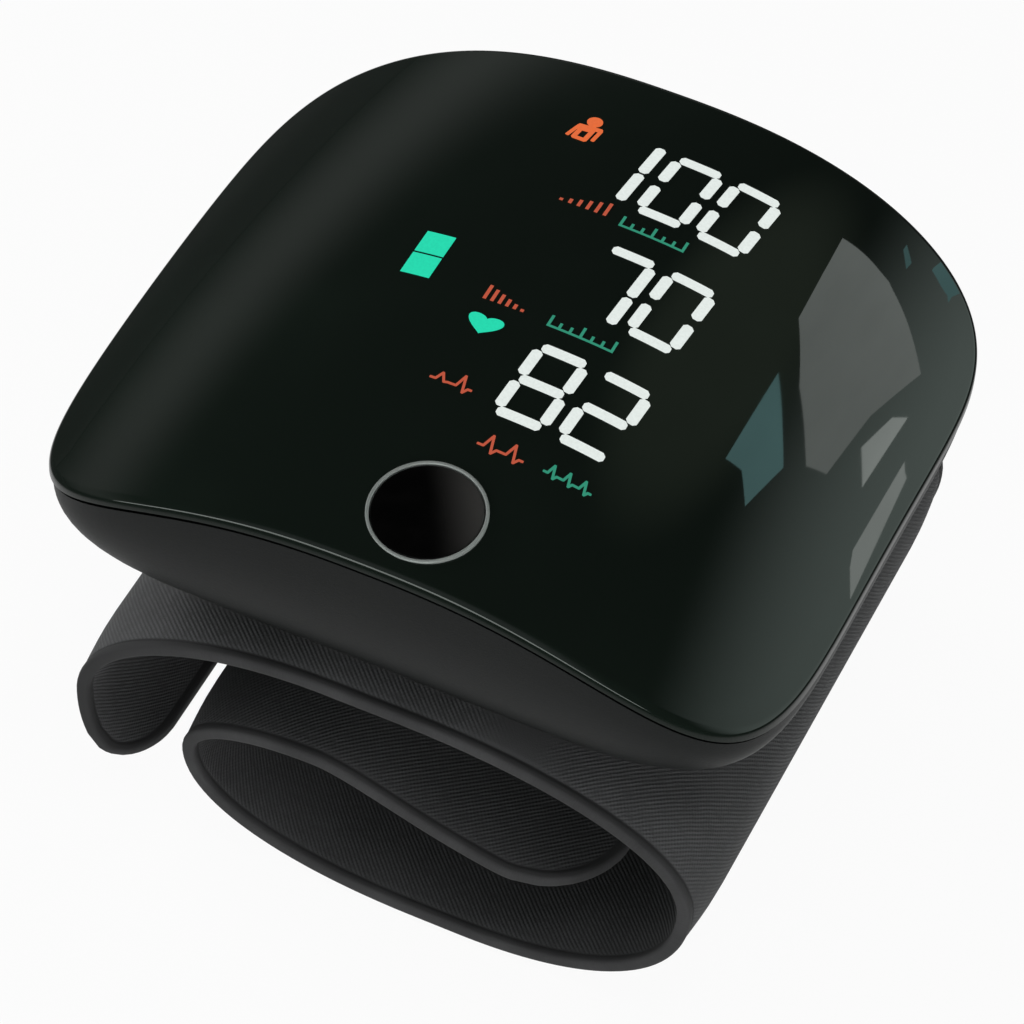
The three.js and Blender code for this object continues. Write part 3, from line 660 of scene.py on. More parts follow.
def slot_cutter(low, high, clearance):
    """A slot with round ends, along Y, round a box."""
    size = high - low
    slot = added("cutter", bpy.ops.mesh.primitive_cube_add, size=1, location=(low + high) / 2)
    slot.scale = (size.x + 2 * clearance, 2 * size.y, size.z + 2 * clearance)
    applied(slot)
    bpy.ops.object.mode_set(mode="EDIT")
    bpy.ops.mesh.select_all(action="DESELECT")
    bpy.ops.object.mode_set(mode="OBJECT")
    for edge in slot.data.edges:
        a, b = (slot.data.vertices[i].co for i in edge.vertices)
        edge.select = abs(a.y - b.y) > size.y
    bpy.ops.object.mode_set(mode="EDIT")
    bpy.ops.mesh.bevel(offset=size.z / 2, segments=8)
    bpy.ops.object.mode_set(mode="OBJECT")
    return slot


class MONITOR_OT_case(bpy.types.Operator):
    """Models the arched gloss cover and the matte bowl under it"""

    bl_idname = "monitor.case"
    bl_label = "Cover and Bowl"

    def execute(self, context):
        case = context.scene.monitor_case
        button = context.scene.monitor_button
        form = CaseForm(case)
        cover = cover_piece(form)
        well = round_cutter(RING_MIDDLE, button.ring_radius - button.ring_width / 2, reach=8 * MM)
        cut_away(cover, well)
        closed(cover)
        gloss = tuple(case.gloss)
        painted(cover, material("gloss_black", gloss_black, gloss), "main_unit", "gloss_black", "top_cover")
        satin_sides(cover, material("satin_edge", satin_edge, gloss))

        bowl = bowl_piece(form)
        clearance = 0.3 * MM
        cut_away(bowl, slot_cutter(*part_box("usb_socket"), clearance))
        for i in range(4):
            low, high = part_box(f"case_screw_{i + 1}")
            middle = (low + high) / 2
            middle.z = low.z
            cut_away(bowl, round_cutter(middle, (high.x - low.x) / 2 + clearance, reach=1 * MM))
        closed(bowl)
        matte = material("case_grey", case_grey, tuple(case.matte))
        painted(bowl, matte, "main_unit", "case_grey", "lower_case")
        return {"FINISHED"}


# Start button

ROUND_SIDES = 72


def turned(name, profile):
    """A round piece: a circle extruded and sized along a profile of radius and height."""
    radius, z = profile[0]
    piece = added(name, bpy.ops.mesh.primitive_circle_add, vertices=ROUND_SIDES, radius=radius)
    with editing(piece):
        bpy.ops.transform.translate(value=(0, 0, z))
        for next_radius, next_z in profile[1:]:
            bpy.ops.mesh.extrude_edges_move(TRANSFORM_OT_translate={"value": (0, 0, next_z - z)})
            share = next_radius / radius
            bpy.ops.transform.resize(value=(share, share, 1))
            radius, z = next_radius, next_z
    return piece


def seated(piece, seat):
    """Puts a turned piece on its seat in the cover."""
    piece.matrix_world = seat
    applied(piece)
    closed(piece, smooth_angle=50)


class MONITOR_OT_button(bpy.types.Operator):
    """Models the start button's dished cap and its silver ring"""

    bl_idname = "monitor.button"
    bl_label = "Start Button"

    def execute(self, context):
        button = context.scene.monitor_button
        form = CaseForm(context.scene.monitor_case)
        x, y, _ = RING_MIDDLE
        slope = math.atan(form.fall(x, y).y)
        seat = Matrix.Translation((x, y, form.height(x, y))) @ Matrix.Rotation(-slope, 4, "X")

        soft = 0.12 * MM
        skirt = -1.2 * MM
        dish_steps = 7
        rim = [(button.radius, skirt), (button.radius, -soft)]
        arc = [math.radians(a) for a in (30, 60, 90)]
        rim += [(button.radius - soft * (1 - math.cos(a)), soft * (math.sin(a) - 1)) for a in arc]
        flat = button.radius - 2 * soft
        shares = [1 - i / dish_steps for i in range(dish_steps)]
        dish = [(flat * share, -button.dish * (1 - share ** 2)) for share in shares]
        cap = turned("button_cap_gloss", rim + dish)
        with editing(cap):
            bpy.ops.mesh.fill_holes(sides=0)
        seated(cap, seat)
        painted(cap, material("button_black", button_black), "start_button", "button_black", "button_cap")

        outer = button.ring_radius
        inner = outer - button.ring_width
        bevel = button.proud / 2
        deep = -1.3 * MM
        ring = turned("button_ring_silver", [
            (outer, deep), (outer, button.proud - bevel), (outer - bevel, button.proud),
            (inner + bevel, button.proud), (inner, button.proud - bevel), (inner, deep), (outer, deep),
        ])
        with editing(ring):
            bpy.ops.mesh.remove_doubles(threshold=0.001 * MM)
        seated(ring, seat)
        silver = material("silver_trim", silver_trim, tuple(button.silver))
        painted(ring, silver, "main_unit", "silver", "button_ring")
        return {"FINISHED"}


# Display

SEGMENTS = {"0": "abcdef", "1": "bc", "2": "abged", "7": "abc", "8": "abcdefg"}
# Digits, height of the row's middle, place of its last digit, and squeeze
ROWS = [
    ("100", 20.6 * MM, 13.05 * MM, 0.945),
    ("70", 5.2 * MM, 12.65 * MM, 0.945),
    ("82", -9.9 * MM, 12.55 * MM, 0.985),
]
# Upper and lower uprights of the digits that lack cross bars
OPEN_SPANS = {
    "1": ((0.6 * MM, 5.0 * MM), (-4.2 * MM, 0.3 * MM)),
    "7": ((-0.5 * MM, 3.9 * MM), (-4.7 * MM, -0.8 * MM)),
}
BLUNT_DIGIT, BLUNT_STROKE = 0.45, 0.6
MARK_LIFT, MARK_THICK = 0.06 * MM, 0.04 * MM
DROP_HEIGHT = 5 * MM  # from where the flat marks are projected on to the cover


def bar(span, stroke, blunt):
    """A flat bar along X with drawn-in ends; blunt is the share of the width that its ends keep."""
    piece = added("bar", bpy.ops.mesh.primitive_grid_add, x_subdivisions=6, y_subdivisions=2, size=1)
    straight = span / 2 - stroke * (1 - blunt) / 2
    for vertex in piece.data.vertices:
        column = round(vertex.co.x * 6)
        at_end = abs(column) == 3
        x = span / 2 if at_end else straight * abs(column) / 2
        vertex.co.x = math.copysign(x, column) if column else 0
        vertex.co.y *= stroke * (blunt if at_end else 1)
    return piece


def copies(pattern, places):
    """Copies of a flat piece, each turned and moved in plan, and the pattern removed."""
    made = []
    for x, y, turn in places:
        copy = pattern.copy()
        copy.data = pattern.data.copy()
        bpy.context.collection.objects.link(copy)
        copy.matrix_world = Matrix.Translation((x, y, 0)) @ Matrix.Rotation(turn, 4, "Z")
        made.append(copy)
    bpy.data.objects.remove(pattern)
    return made


def disc(radius, sides=24):
    """A flat round patch with rings of faces, so that it can follow the cover."""
    piece = added(
        "disc", bpy.ops.mesh.primitive_circle_add, vertices=sides, radius=radius, fill_type="TRIFAN")
    with editing(piece):
        bpy.ops.mesh.subdivide(number_cuts=1)
    return piece


def oblong(x0, x1, y0, y1):
    """A flat oblong patch of several faces."""
    piece = added("oblong", bpy.ops.mesh.primitive_grid_add, x_subdivisions=4, y_subdivisions=4, size=1)
    piece.location = ((x0 + x1) / 2, (y0 + y1) / 2, 0)
    piece.scale = (x1 - x0, y1 - y0, 1)
    applied(piece)
    return piece


def stroke_line(points, width):
    """Short bars from point to point."""
    bars = []
    for (x0, y0), (x1, y1) in zip(points, points[1:]):
        way = Vector((x1 - x0, y1 - y0))
        pattern = bar(way.length + width * BLUNT_STROKE, width, BLUNT_STROKE)
        bars += copies(pattern, [((x0 + x1) / 2, (y0 + y1) / 2, math.atan2(way.y, way.x))])
    return bars


def laid(name, patches, cover, finish):
    """Joins flat patches, lays them on the cover and gives them a thickness."""
    for patch in patches:
        patch.location.z = COVER_HIGH.z + DROP_HEIGHT
        applied(patch)
    piece = joined(name, patches)
    finished(
        piece, "SHRINKWRAP", target=cover, wrap_method="PROJECT", use_project_z=True,
        use_negative_direction=True, use_positive_direction=False, offset=MARK_LIFT)
    finished(piece, "SOLIDIFY", thickness=MARK_THICK, offset=-1)
    closed(piece)
    painted(piece, finish, "main_unit", None)


def digit_bars(display, text, row, last, squeeze):
    """The segments of one row of digits; a 1 and a 7 have longer uprights, as they lack cross bars."""
    wide = (display.digit_width - display.stroke) * squeeze
    tall = display.digit_height - display.stroke
    near = display.stroke * 0.35 + display.segment_gap / 2
    usual = ((near, tall / 2 - near), (near - tall / 2, -near))
    made = []
    for i, digit in enumerate(text):
        x = last - display.pitch * squeeze * (len(text) - 1 - i)
        if digit == "1":
            x -= display.leading_one
        lit = SEGMENTS[digit]
        flat = [
            (x + display.lean * side * tall / 2, row + side * tall / 2, 0)
            for key, side in (("a", 1), ("g", 0), ("d", -1)) if key in lit
        ]
        made += copies(bar(wide - display.segment_gap / 2, display.stroke, BLUNT_DIGIT), flat)
        for keys, (low, high) in zip(("bf", "ce"), OPEN_SPANS.get(digit, usual)):
            level = (low + high) / 2
            places = [
                (x + side * wide / 2 + display.lean * level, row + level, math.pi / 2 - display.lean)
                for key, side in zip(keys, (1, -1)) if key in lit
            ]
            made += copies(bar(high - low, display.stroke, BLUNT_DIGIT), places)
    return made


def battery(left, right, *levels):
    """Blocks between two sides, each with its low and high level."""
    return [oblong(left, right, low, high) for low, high in zip(levels[::2], levels[1::2])]


def heart(x, y, width):
    """A rounded heart."""
    piece = disc(1, 32)
    for vertex in piece.data.vertices:
        reach = vertex.co.length
        turn = math.atan2(vertex.co.x, vertex.co.y)
        side = math.sin(turn) ** 3
        up = (13 * math.cos(turn) - 5 * math.cos(2 * turn) - 2 * math.cos(3 * turn)) / 17 + 0.15
        vertex.co = (x + reach * side * width / 2, y + reach * up * width / 2 * 0.85, 0)
    return [piece]


# Width and points of the figure's shoulders, neck, arms, chest and body
LIMBS = [
    (0.58, (-0.95, 0.36), (1.28, 0.46)),
    (0.80, (0.19, 1.10), (0.28, 0.50)),
    (0.40, (-1.00, 0.30), (-1.47, -1.50)),
    (0.40, (1.32, 0.40), (1.16, -1.32)),
    (0.70, (-0.50, 0.05), (0.50, 0.10)),
    (0.50, (-0.62, 0.05), (-0.78, -1.55), (0.42, -1.62), (0.58, 0.20)),
]


def person(x, y, unit):
    """A seated figure with hanging arms, about four units tall."""
    head = disc(0.80 * unit)
    head.location = (x + 0.19 * unit, y + 1.50 * unit, 0)
    made = [head]
    for width, *points in LIMBS:
        made += stroke_line([(x + a * unit, y + b * unit) for a, b in points], width * unit)
    return made


def steps_mark(x, y, width, height, rising):
    """Thin bars that rise or fall."""
    bars = 6
    thin = 0.17 * MM
    low = y - height / 2
    made = []
    for i in range(bars):
        share = (i + 1) / bars if rising else 1 - i / bars
        middle = x + (i / (bars - 1) - 0.5) * width
        made.append(oblong(middle - thin, middle + thin, low, low + height * share))
    return made


def beat_mark(x, y, width, height, beats):
    """A beat line across a mark's width, with one peak for each beat."""
    left, level = x - width / 2, y - height * 0.2
    reach = width / len(beats)
    points = [(left, level)]
    for i, beat in enumerate(beats):
        start = left + width * (i + 0.25) / len(beats)
        points += [
            (start, level), (start + reach * 0.2, y + height * 0.55 * beat),
            (start + reach * 0.42, y - height * 0.5 * beat), (start + reach * 0.58, level),
        ]
    points.append((x + width / 2, level))
    return stroke_line(points, 0.26 * MM)


def scale_mark(x, y, width, height):
    """A gauge's scale: long and short ticks on a line."""
    ticks = 7
    thin = 0.14 * MM
    left, low = x - width / 2, y - height / 2
    made = [oblong(left, x + width / 2, low, low + 0.25 * MM)]
    for i in range(ticks):
        tall = height if i % 3 == 0 else height * 0.6
        middle = left + width * i / (ticks - 1)
        made.append(oblong(middle - thin, middle + thin, low, low + tall))
    return made


# Name, colour, maker, place and size in millimetres, and what else the maker needs
MARKS = [
    ("battery_sign", "mint", battery, (-12.5, -9.5, 1.25, 4.2, -1.9, 1.0)),
    ("heart_sign", "mint", heart, (-2.1, -5.4, 3.6)),
    ("figure_sign", "signal", person, (-4.95, 24.6, 1)),
    ("high_mark", "orange", steps_mark, (-0.5, 14.5, 4.6, 1.9), True),
    ("low_mark", "orange", steps_mark, (-1.6, -1.3, 3.9, 1.9), False),
    ("pulse_mark", "orange", beat_mark, (5.9, -18.3, 4.6, 1.9), (1, 1)),
    ("uneven_mark", "orange", beat_mark, (-1.7, -13.0, 4.2, 1.9), (0.5, 1)),
    ("scale_mark_high", "green", scale_mark, (7.0, 13.7, 6.6, 1.5)),
    ("scale_mark_low", "green", scale_mark, (6.6, -2.0, 6.6, 1.5)),
    ("rate_mark", "green", beat_mark, (12.7, -18.3, 4.8, 1.4), (1, 1, 1)),
]


class MONITOR_OT_display(bpy.types.Operator):
    """Lays the lit digits, signs and marks on the cover"""

    bl_idname = "monitor.display"
    bl_label = "Display"

    def execute(self, context):
        display = context.scene.monitor_display
        cover = bpy.data.objects["cover"]
        white = material("lit_white", lit_display, tuple(display.white))
        for i, row in enumerate(ROWS):
            laid(f"digits_row_{i + 1}", digit_bars(display, *row), cover, white)
        for name, tint, maker, sizes, *others in MARKS:
            lit = material(f"lit_{tint}", lit_display, tuple(getattr(display, tint)))
            laid(name, maker(*(size * MM for size in sizes), *others), cover, lit)
        return {"FINISHED"}


# Cuff

MEETING_X = 15 * MM  # where the two leans of the twill meet, on the upper layer
BAND_STEP = 1.0 * MM
END_INSETS = {inset * MM for inset in (0.02, 0.5, 0.8, 3, 5)}  # stations near a free end
BAND_BORDER = 5 * MM  # the width beside the edge that isn't squeezed at rounded ends
PAINTED_SHADE_WITHIN = 8 * MM  # the length past the roll over which the outer face darkens to the lining colour, as painted shade


class BandLine:
    """The outside of the band's section, from its tail's end to its tongue's end, in X and Z."""

    STEPS = 160

    def __init__(self):
        tail_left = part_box("cuff_tail_cover")[0].x - 0.2 * MM
        roll_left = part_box("cuff_roll_cover")[0].x
        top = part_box("cuff_upper_cover")[1].z
        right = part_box("cuff_bend_cover")[1].x - 0.3 * MM
        tongue_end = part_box("cuff_tongue_cover")[1].x
        tail_end, tail_waist = Vector((-24.2 * MM, 3.9 * MM)), Vector((tail_left, 15 * MM))
        upper_left, upper_right = Vector((-4 * MM, top)), Vector((3 * MM, top))
        bend_waist = Vector((right, 16.5 * MM))
        base_right, base_left = Vector((11 * MM, 0)), Vector((6 * MM, 0))
        roll_waist, roll_top = Vector((roll_left, 12.6 * MM)), Vector((-5.2 * MM, 19.5 * MM))
        tongue_tip = Vector((tongue_end, 13.2 * MM))
        span = Vector((tongue_tip.x - roll_top.x, 0))

        self.points = []
        self.bend(tail_end, tail_waist, (tail_left, tail_end.y))
        self.bend(tail_waist, upper_left, (tail_left, top), 0.56)
        self.straight(upper_left, upper_right)
        self.bend(upper_right, bend_waist, (right, top))
        self.bend(bend_waist, base_right, (right, 0))
        bend_end = len(self.points) - 1
        self.straight(base_right, base_left)
        self.bend(base_left, roll_waist, (roll_left, 0))
        self.bend(roll_waist, roll_top, (roll_left, roll_top.y))
        self.tongue_start = len(self.points)
        self.cubic(roll_top, roll_top + span / 5, tongue_tip - span / 2, tongue_tip)
        self.lengths = [0.0]
        for a, b in zip(self.points, self.points[1:]):
            self.lengths.append(self.lengths[-1] + (b - a).length)
        self.total = self.lengths[-1]
        self.bend_length = self.lengths[bend_end]
        self.roll_length = self.lengths[self.tongue_start - self.STEPS]

    def cubic(self, a, b, c, d):
        first = 1 if self.points else 0
        for i in range(first, self.STEPS + 1):
            t = i / self.STEPS
            s = 1 - t
            self.points.append(a * s ** 3 + b * 3 * s * s * t + c * 3 * s * t * t + d * t ** 3)

    def straight(self, start, end):
        self.cubic(start, start.lerp(end, 1 / 3), start.lerp(end, 2 / 3), end)

    def bend(self, start, end, corner, pull=0.61):
        self.cubic(start, start.lerp(corner, pull), end.lerp(corner, pull), end)

    def at(self, length):
        """Place and inward direction at a length from the tail's end."""
        last = len(self.points) - 1
        high = min(max(bisect_right(self.lengths, length), 1), last)
        low = high - 1
        share = (length - self.lengths[low]) / (self.lengths[high] - self.lengths[low])
        ahead = self.points[min(high + 3, last)] - self.points[max(low - 3, 0)]
        ahead.normalize()
        return self.points[low].lerp(self.points[high], share), Vector((ahead.y, -ahead.x))

    def length_at(self, x, first=0):
        """Length at which the line, after its first points, passes x on its way to the right."""
        for point, length in list(zip(self.points, self.lengths))[first:]:
            if point.x >= x:
                return length
        raise ValueError(f"the band's line doesn't reach {x}")


class Padding:
    """Half of a band's thickness at each distance from its outline, and where its middle lies."""

    def __init__(self, width, half, depth, middle, profile):
        self.width, self.half, self.depth, self.middle = width, half, depth, middle
        self.profile = profile

    def half_at(self, distance):
        for (a, low), (b, high) in zip(self.profile, self.profile[1:]):
            if distance <= b:
                return low + (high - low) * (distance - a) / (b - a)
        return self.half

    def section(self):
        """Points round the section: side, distance from the edge and face."""
        last = self.profile[-1][0]
        insets = [inset for inset, _ in self.profile]
        insets += [last + (self.width / 2 - last) * i / 5 for i in range(1, 6)]
        across = [(-1, inset) for inset in insets] + [(1, inset) for inset in reversed(insets[:-1])]
        outer = [(side, inset, 1) for side, inset in across]
        inner = [(side, inset, -1) for side, inset in reversed(across)]
        return [(-1, 0.0, 0)] + outer + [(1, 0.0, 0)] + inner


def cuff_padding(cuff):
    """A thin pressed edge, a seam beside it, and padding that swells behind the seam."""
    half, edge, soft = cuff.thick / 2, cuff.edge_thick / 2, cuff.edge_round
    corner = [math.radians(a) for a in (0, 30, 60, 90)]
    profile = [(soft * (1 - math.cos(a)), edge - soft * (1 - math.sin(a))) for a in corner]
    side = cuff.seam_width / 2
    sunk = ((-1.5, 0), (-1, 0.4), (0, 1), (1, 0.4))
    profile += [(cuff.seam_inset + side * a, edge - cuff.seam_depth * share) for a, share in sunk]
    start = cuff.seam_inset + side * 1.5
    profile += [
        (start + cuff.swell * share, edge + (half - edge) * math.sin(math.pi / 2 * share))
        for share in (0, 0.06, 0.14, 0.26, 0.42, 0.65, 1)
    ]
    return Padding(cuff.width, half, half, -cuff.forward, profile)


def stations(padding, start, end, free_start, free_end):
    """Lengths along the band, as close together at its free ends as across its edges."""
    fine = sorted({inset for inset, _ in padding.profile} | END_INSETS)
    head = [start + inset for inset in (fine if free_start else [0])]
    tail = [end - inset for inset in reversed(fine if free_end else [0])]
    gap = tail[0] - head[-1]
    count = max(2, round(gap / BAND_STEP))
    return head + [head[-1] + gap * i / count for i in range(1, count)] + tail


def band_piece(name, padding, line, start, end, start_corner=None, end_corner=None):
    """A stretch of band: its section extruded along the line, with rounded free ends.

    Its inner face is lined; past the roll its outer face takes the lining colour too, as painted shade.
    """
    section = padding.section()
    count = len(section)
    places = stations(padding, start, end, start_corner is not None, end_corner is not None)
    band = added(name, bpy.ops.mesh.primitive_circle_add, vertices=count, radius=1, fill_type="NGON")
    extruded(band, len(places) - 1)
    wide = padding.width / 2
    edges, lining_and_shade, flat_places = [], [], []
    for vertex in band.data.vertices:
        turn = math.atan2(vertex.co.y, vertex.co.x) % (2 * math.pi)
        side, inset, face = section[round(turn / (2 * math.pi) * count) % count]
        length = places[round(vertex.co.z)]
        ends = [(length - start, start_corner), (end - length, end_corner)]
        ends = [(free, corner) for free, corner in ends if corner is not None]
        reach = wide
        for free, corner in ends:
            if free < corner:
                reach -= corner - math.sqrt(corner ** 2 - (corner - free) ** 2)
        kept = reach - min(inset, BAND_BORDER)
        across = kept * (1 if inset <= BAND_BORDER else (wide - inset) / (wide - BAND_BORDER))
        distance = wide - across
        for free, corner in ends:
            along, aside = max(0.0, corner - free), max(0.0, corner - (wide - across))
            round_off = corner - math.hypot(along, aside) if along and aside else free
            distance = min(distance, round_off)
        distance = max(0.0, distance)
        point, inward = line.at(length)
        depth = padding.depth - face * padding.half_at(distance)
        vertex.co = (point.x + inward.x * depth, padding.middle + side * across, point.y + inward.y * depth)
        edges.append(distance)
        # painted shade: past the roll the outer face takes the darker lining colour
        painted_shade_past_roll = min(1.0, max(0.0, (length - line.roll_length) / PAINTED_SHADE_WITHIN))
        lining_and_shade.append(max((1 - face) / 2, painted_shade_past_roll))
        flat_places.append((side * across, length))
    write_band_data(band.data, edges, lining_and_shade, flat_places)
    closed(band, smooth_angle=60)
    return band


def write_band_data(mesh, edges, lining_and_shade, flat_places):
    """Keeps the distance from the edge, the lining share with the painted shade past the roll, and the place
    on the unrolled band on the mesh.
    """
    for name, numbers in (("edge", edges), ("inner", lining_and_shade)):
        mesh.attributes.new(name, "FLOAT", "POINT").data.foreach_set("value", numbers)
    uv = mesh.uv_layers.new(name="band")
    for loop in mesh.loops:
        uv.data[loop.index].uv = flat_places[loop.vertex_index]


class MONITOR_OT_cuff(bpy.types.Operator):
    """Models the padded band in three stretches, and its hook tape"""

    bl_idname = "monitor.cuff"
    bl_label = "Cuff"

    def execute(self, context):
        cuff = context.scene.monitor_cuff
        line = BandLine()
        padding = cuff_padding(cuff)
        cloth, lining, rim = tuple(cuff.cloth), tuple(cuff.lining), tuple(cuff.rim)
        meeting, bend_end = line.length_at(MEETING_X), line.bend_length

        def leaning(name, lean, inside):
            return material(name, twill, cuff.twill, lean, cuff.seam_inset, meeting, cloth, inside, rim)

        tail = band_piece("cuff_tail_band", padding, line, 0, meeting, start_corner=cuff.tail_corner)
        # painted light: the tail's lining is painted 15 % lighter than the lining elsewhere
        painted(
            tail, leaning("cuff_twill_left", -1, tinted(lining, 1.15)), None, "cuff_cloth",
            "cuff_tail_cover", "cuff_tail_lining",
            "cuff_upper_cover", "cuff_upper_lining", "cuff_upper_bladder")
        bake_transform(tail)

        twill_right = leaning("cuff_twill_right", 1, lining)
        bend = band_piece("cuff_bend_band", padding, line, meeting, bend_end)
        painted(bend, twill_right, None, "cuff_cloth", "cuff_bend_cover")
        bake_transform(bend)

        wrap = band_piece(
            "cuff_wrap_band", padding, line, bend_end, line.total, end_corner=cuff.tongue_corner)
        painted(
            wrap, twill_right, "cuff_wrap", "cuff_cloth",
            "cuff_base_cover", "cuff_roll_cover", "cuff_tongue_cover",
            "cuff_wrap_lining", "cuff_wrap_bladder")

        low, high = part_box("hook_strip")
        half = cuff.hook_thick / 2
        pressed = [(0, half * 0.5), (0.15 * MM, half), (1 * MM, half)]
        tape = Padding(high.y - low.y, half, cuff.thick + half, padding.middle, pressed)
        ends = [line.length_at(x, line.tongue_start) for x in (low.x, high.x)]
        corner = 3 * MM
        hooks = band_piece("cuff_hook_tape", tape, line, *ends, start_corner=corner, end_corner=corner)
        painted(hooks, material("hook_tape", hook_tape), "cuff_wrap", "hook_tape", "hook_strip")
        return {"FINISHED"}


# Finishes of the pieces inside

INNER_FINISHES = {
    "steel": ("zinc", zinc),
    "board_green": ("board_green", board_green),
    "white_plastic": ("white_plastic", moulded, (0.70, 0.71, 0.69)),
    "black_plastic": ("black_plastic", moulded, (0.020, 0.020, 0.022)),
    "foil": ("foil", foil),
    "silicone": ("silicone", silicone),
}


class MONITOR_OT_inner(bpy.types.Operator):
    """Finishes the screws, board, pump and other pieces that the frame brings"""

    bl_idname = "monitor.inner"
    bl_label = "Inner Pieces"

    def execute(self, context):
        for part in frame["record"]["subparts"]:
            node = frame["nodes"][part["node"]]
            finish = INNER_FINISHES.get(part["material_slot"])
            if finish and not node.hide_render:
                node.data.materials.clear()
                node.data.materials.append(material(*finish))
        return {"FINISHED"}


# Stage

DAYLIGHT, TEAL = (0.92, 1.0, 0.95), (0.50, 1.0, 1.0)
LAMP_AIM = Vector((0, 0, 0.03))
WINDOW_DISTANCE = 3.0
# Name, place, width and height in metres, and power in watts
LAMPS = [
    ("left_lamp", (-0.95, 0.30, 0.30), (0.5, 0.4), 8.2),
    ("right_lamp", (0.97, -0.20, 0.15), (0.5, 0.25), 2.0),
    ("front_lamp", (0.20, -1.0, 0.15), (0.6, 0.25), 6.2),
    ("top_lamp", (0.10, -0.12, 1.1), (0.6, 0.6), 4.0),
]
# Name, light, strength, and the corners' bearings from +Y and heights, in degrees
WINDOWS = [
    ("window", DAYLIGHT, 2.5,
     (18.5, 30), (38, 17.5), (40, 23), (43.5, 27), (42, 30.5), (33, 34.3), (24, 35.4)),
    ("teal_window", TEAL, 2.5, (29, 37.5), (41, 34), (43, 38.5), (38.3, 40.4), (35, 43.2)),
    ("low_window", DAYLIGHT, 4.8, (41, 17.6), (45.3, 21), (42.3, 23), (40.7, 19.8)),
    ("corner_window", TEAL, 1.7, (28.9, 18.2), (29.4, 19), (33, 16.1), (32.5, 15)),
    ("narrow_window", TEAL, 1.5, (25.2, 22.6), (25.5, 23), (27.8, 22.4), (27.5, 21.8)),
    ("edge_window", DAYLIGHT, 4.2, (44, 16), (45, 15), (52.3, 17.6), (49.5, 19.2)),
]
# Bearing, foot and head of the row of windows behind the camera
FRONT_WINDOWS = [
    (-118, 1, 8), (-132, 6, 17), (-147, 10, 24), (-160, 13, 28),
    (-170, 14, 29), (176, 13, 28), (160, 10, 24), (142, 5, 16),
]
FRONT_STRENGTH = 6.0
FLOOR_RADIUS = 1.2
FLOOR_DROP = 0.05 * MM


def softbox(name, place, size, power):
    """A rectangular lamp that looks at the monitor and that gloss doesn't show."""
    bpy.ops.object.light_add(type="AREA", location=place)
    lamp = bpy.context.object
    lamp.name = name
    lamp.rotation_mode = "QUATERNION"
    lamp.rotation_quaternion = (LAMP_AIM - Vector(place)).to_track_quat("-Z", "Y")
    lamp.data.shape = "RECTANGLE"
    lamp.data.size, lamp.data.size_y = size
    lamp.data.energy = power
    lamp.visible_glossy = False


def direction(bearing, height):
    """The way to a bearing from +Y and a height, in degrees."""
    turn, rise = math.radians(bearing), math.radians(height)
    return Vector((math.sin(turn) * math.cos(rise), math.cos(turn) * math.cos(rise), math.sin(rise)))


def window_light(paint, light, strength):
    """Daylight that is a little uneven over the glass."""
    paint.surface({
        "Base Color": (0, 0, 0, 1),
        "Emission Color": paint.shade(paint.noise(2.5), light, 0.75, 1),
        "Emission Strength": strength,
    })


def pane(name, light, strength, *corners):
    """A far window that only the gloss shows."""
    window = added(name, bpy.ops.mesh.primitive_circle_add, vertices=len(corners), fill_type="NGON")
    for vertex, corner in zip(window.data.vertices, corners):
        vertex.co = direction(*corner) * WINDOW_DISTANCE + Vector((0, 0, COVER_HIGH.z))
    window.data.materials.append(material(f"{name}_light", window_light, light, strength))
    window.visible_camera = window.visible_diffuse = window.visible_shadow = False


def seen_rays(paint):
    """1 for camera rays, and 1 for the rays that gloss and glass send on."""
    rays = paint.node("ShaderNodeLightPath")
    camera, gloss, glass = (
        Value(paint, rays.outputs[f"Is {kind} Ray"]) for kind in ("Camera", "Glossy", "Transmission"))
    return camera, gloss.larger(glass)


def floor_paint(paint, near, far):
    """Pale paper, white to the eye; in the gloss it ends where the dim room begins."""
    x, y = paint.split(paint.place(), "XY")
    square = x * x + y * y
    away, dim = square.step(0.12 ** 2, 0.30 ** 2), square.step(0.05 ** 2, 0.14 ** 2)
    fibre = paint.noise(900, 4) * 0.03
    camera, gloss = seen_rays(paint)
    paper = paint.node("ShaderNodeBsdfDiffuse", {"Color": paint.mix(away + fibre, near, far)})
    shown = paint.mix(dim * gloss, (1, 1, 1), (0.04, 0.04, 0.04))
    white = paint.node("ShaderNodeEmission", {"Color": shown})
    seen = camera.larger(gloss) * 0.95
    both = paint.node("ShaderNodeMixShader", {0: seen, 1: paper.outputs[0], 2: white.outputs[0]})
    paint.feed(paint.tree.nodes["Material Output"].inputs["Surface"], both.outputs[0])


def towards(paint, way, bearing, height, low, high):
    """A round glow about a direction; low and high are the cosines at its rim and its middle."""
    sockets = {0: way, 1: direction(bearing, height)}
    return paint.value("ShaderNodeVectorMath", sockets, "Value", operation="DOT_PRODUCT").step(low, high)


def studio_world():
    """A dim room with daylight from the right and a pale wall to the left; to the eye it is white."""
    world = bpy.data.worlds.new("studio")
    world.use_nodes = True
    paint = Paint(world.node_tree)
    way = paint.node("ShaderNodeTexCoord").outputs["Generated"]
    x, z = paint.split(way, "XZ")
    camera, gloss = seen_rays(paint)
    wall = z.step(-0.10, 0.20) * (1 - z.step(0.20, 0.48)) * (1 - x.step(-0.35, 0))
    lit = paint.mix(wall, (0.030, 0.032, 0.031), (0.24, 0.25, 0.24))
    lit = paint.mix(towards(paint, way, 17, 44, 0.955, 0.99), lit, (0.20, 0.24, 0.18))
    lit = paint.mix(towards(paint, way, 185, 45, 0.72, 0.95), lit, (0.34, 0.36, 0.36))
    lit = paint.mix(towards(paint, way, 56, 2, 0.72, 1.0) * gloss, lit, (1.22, 1.46, 1.36))
    shown = paint.mix(camera, lit, (0.92, 0.92, 0.92))
    paint.feed(world.node_tree.nodes["Background"].inputs["Color"], shown)
    return world


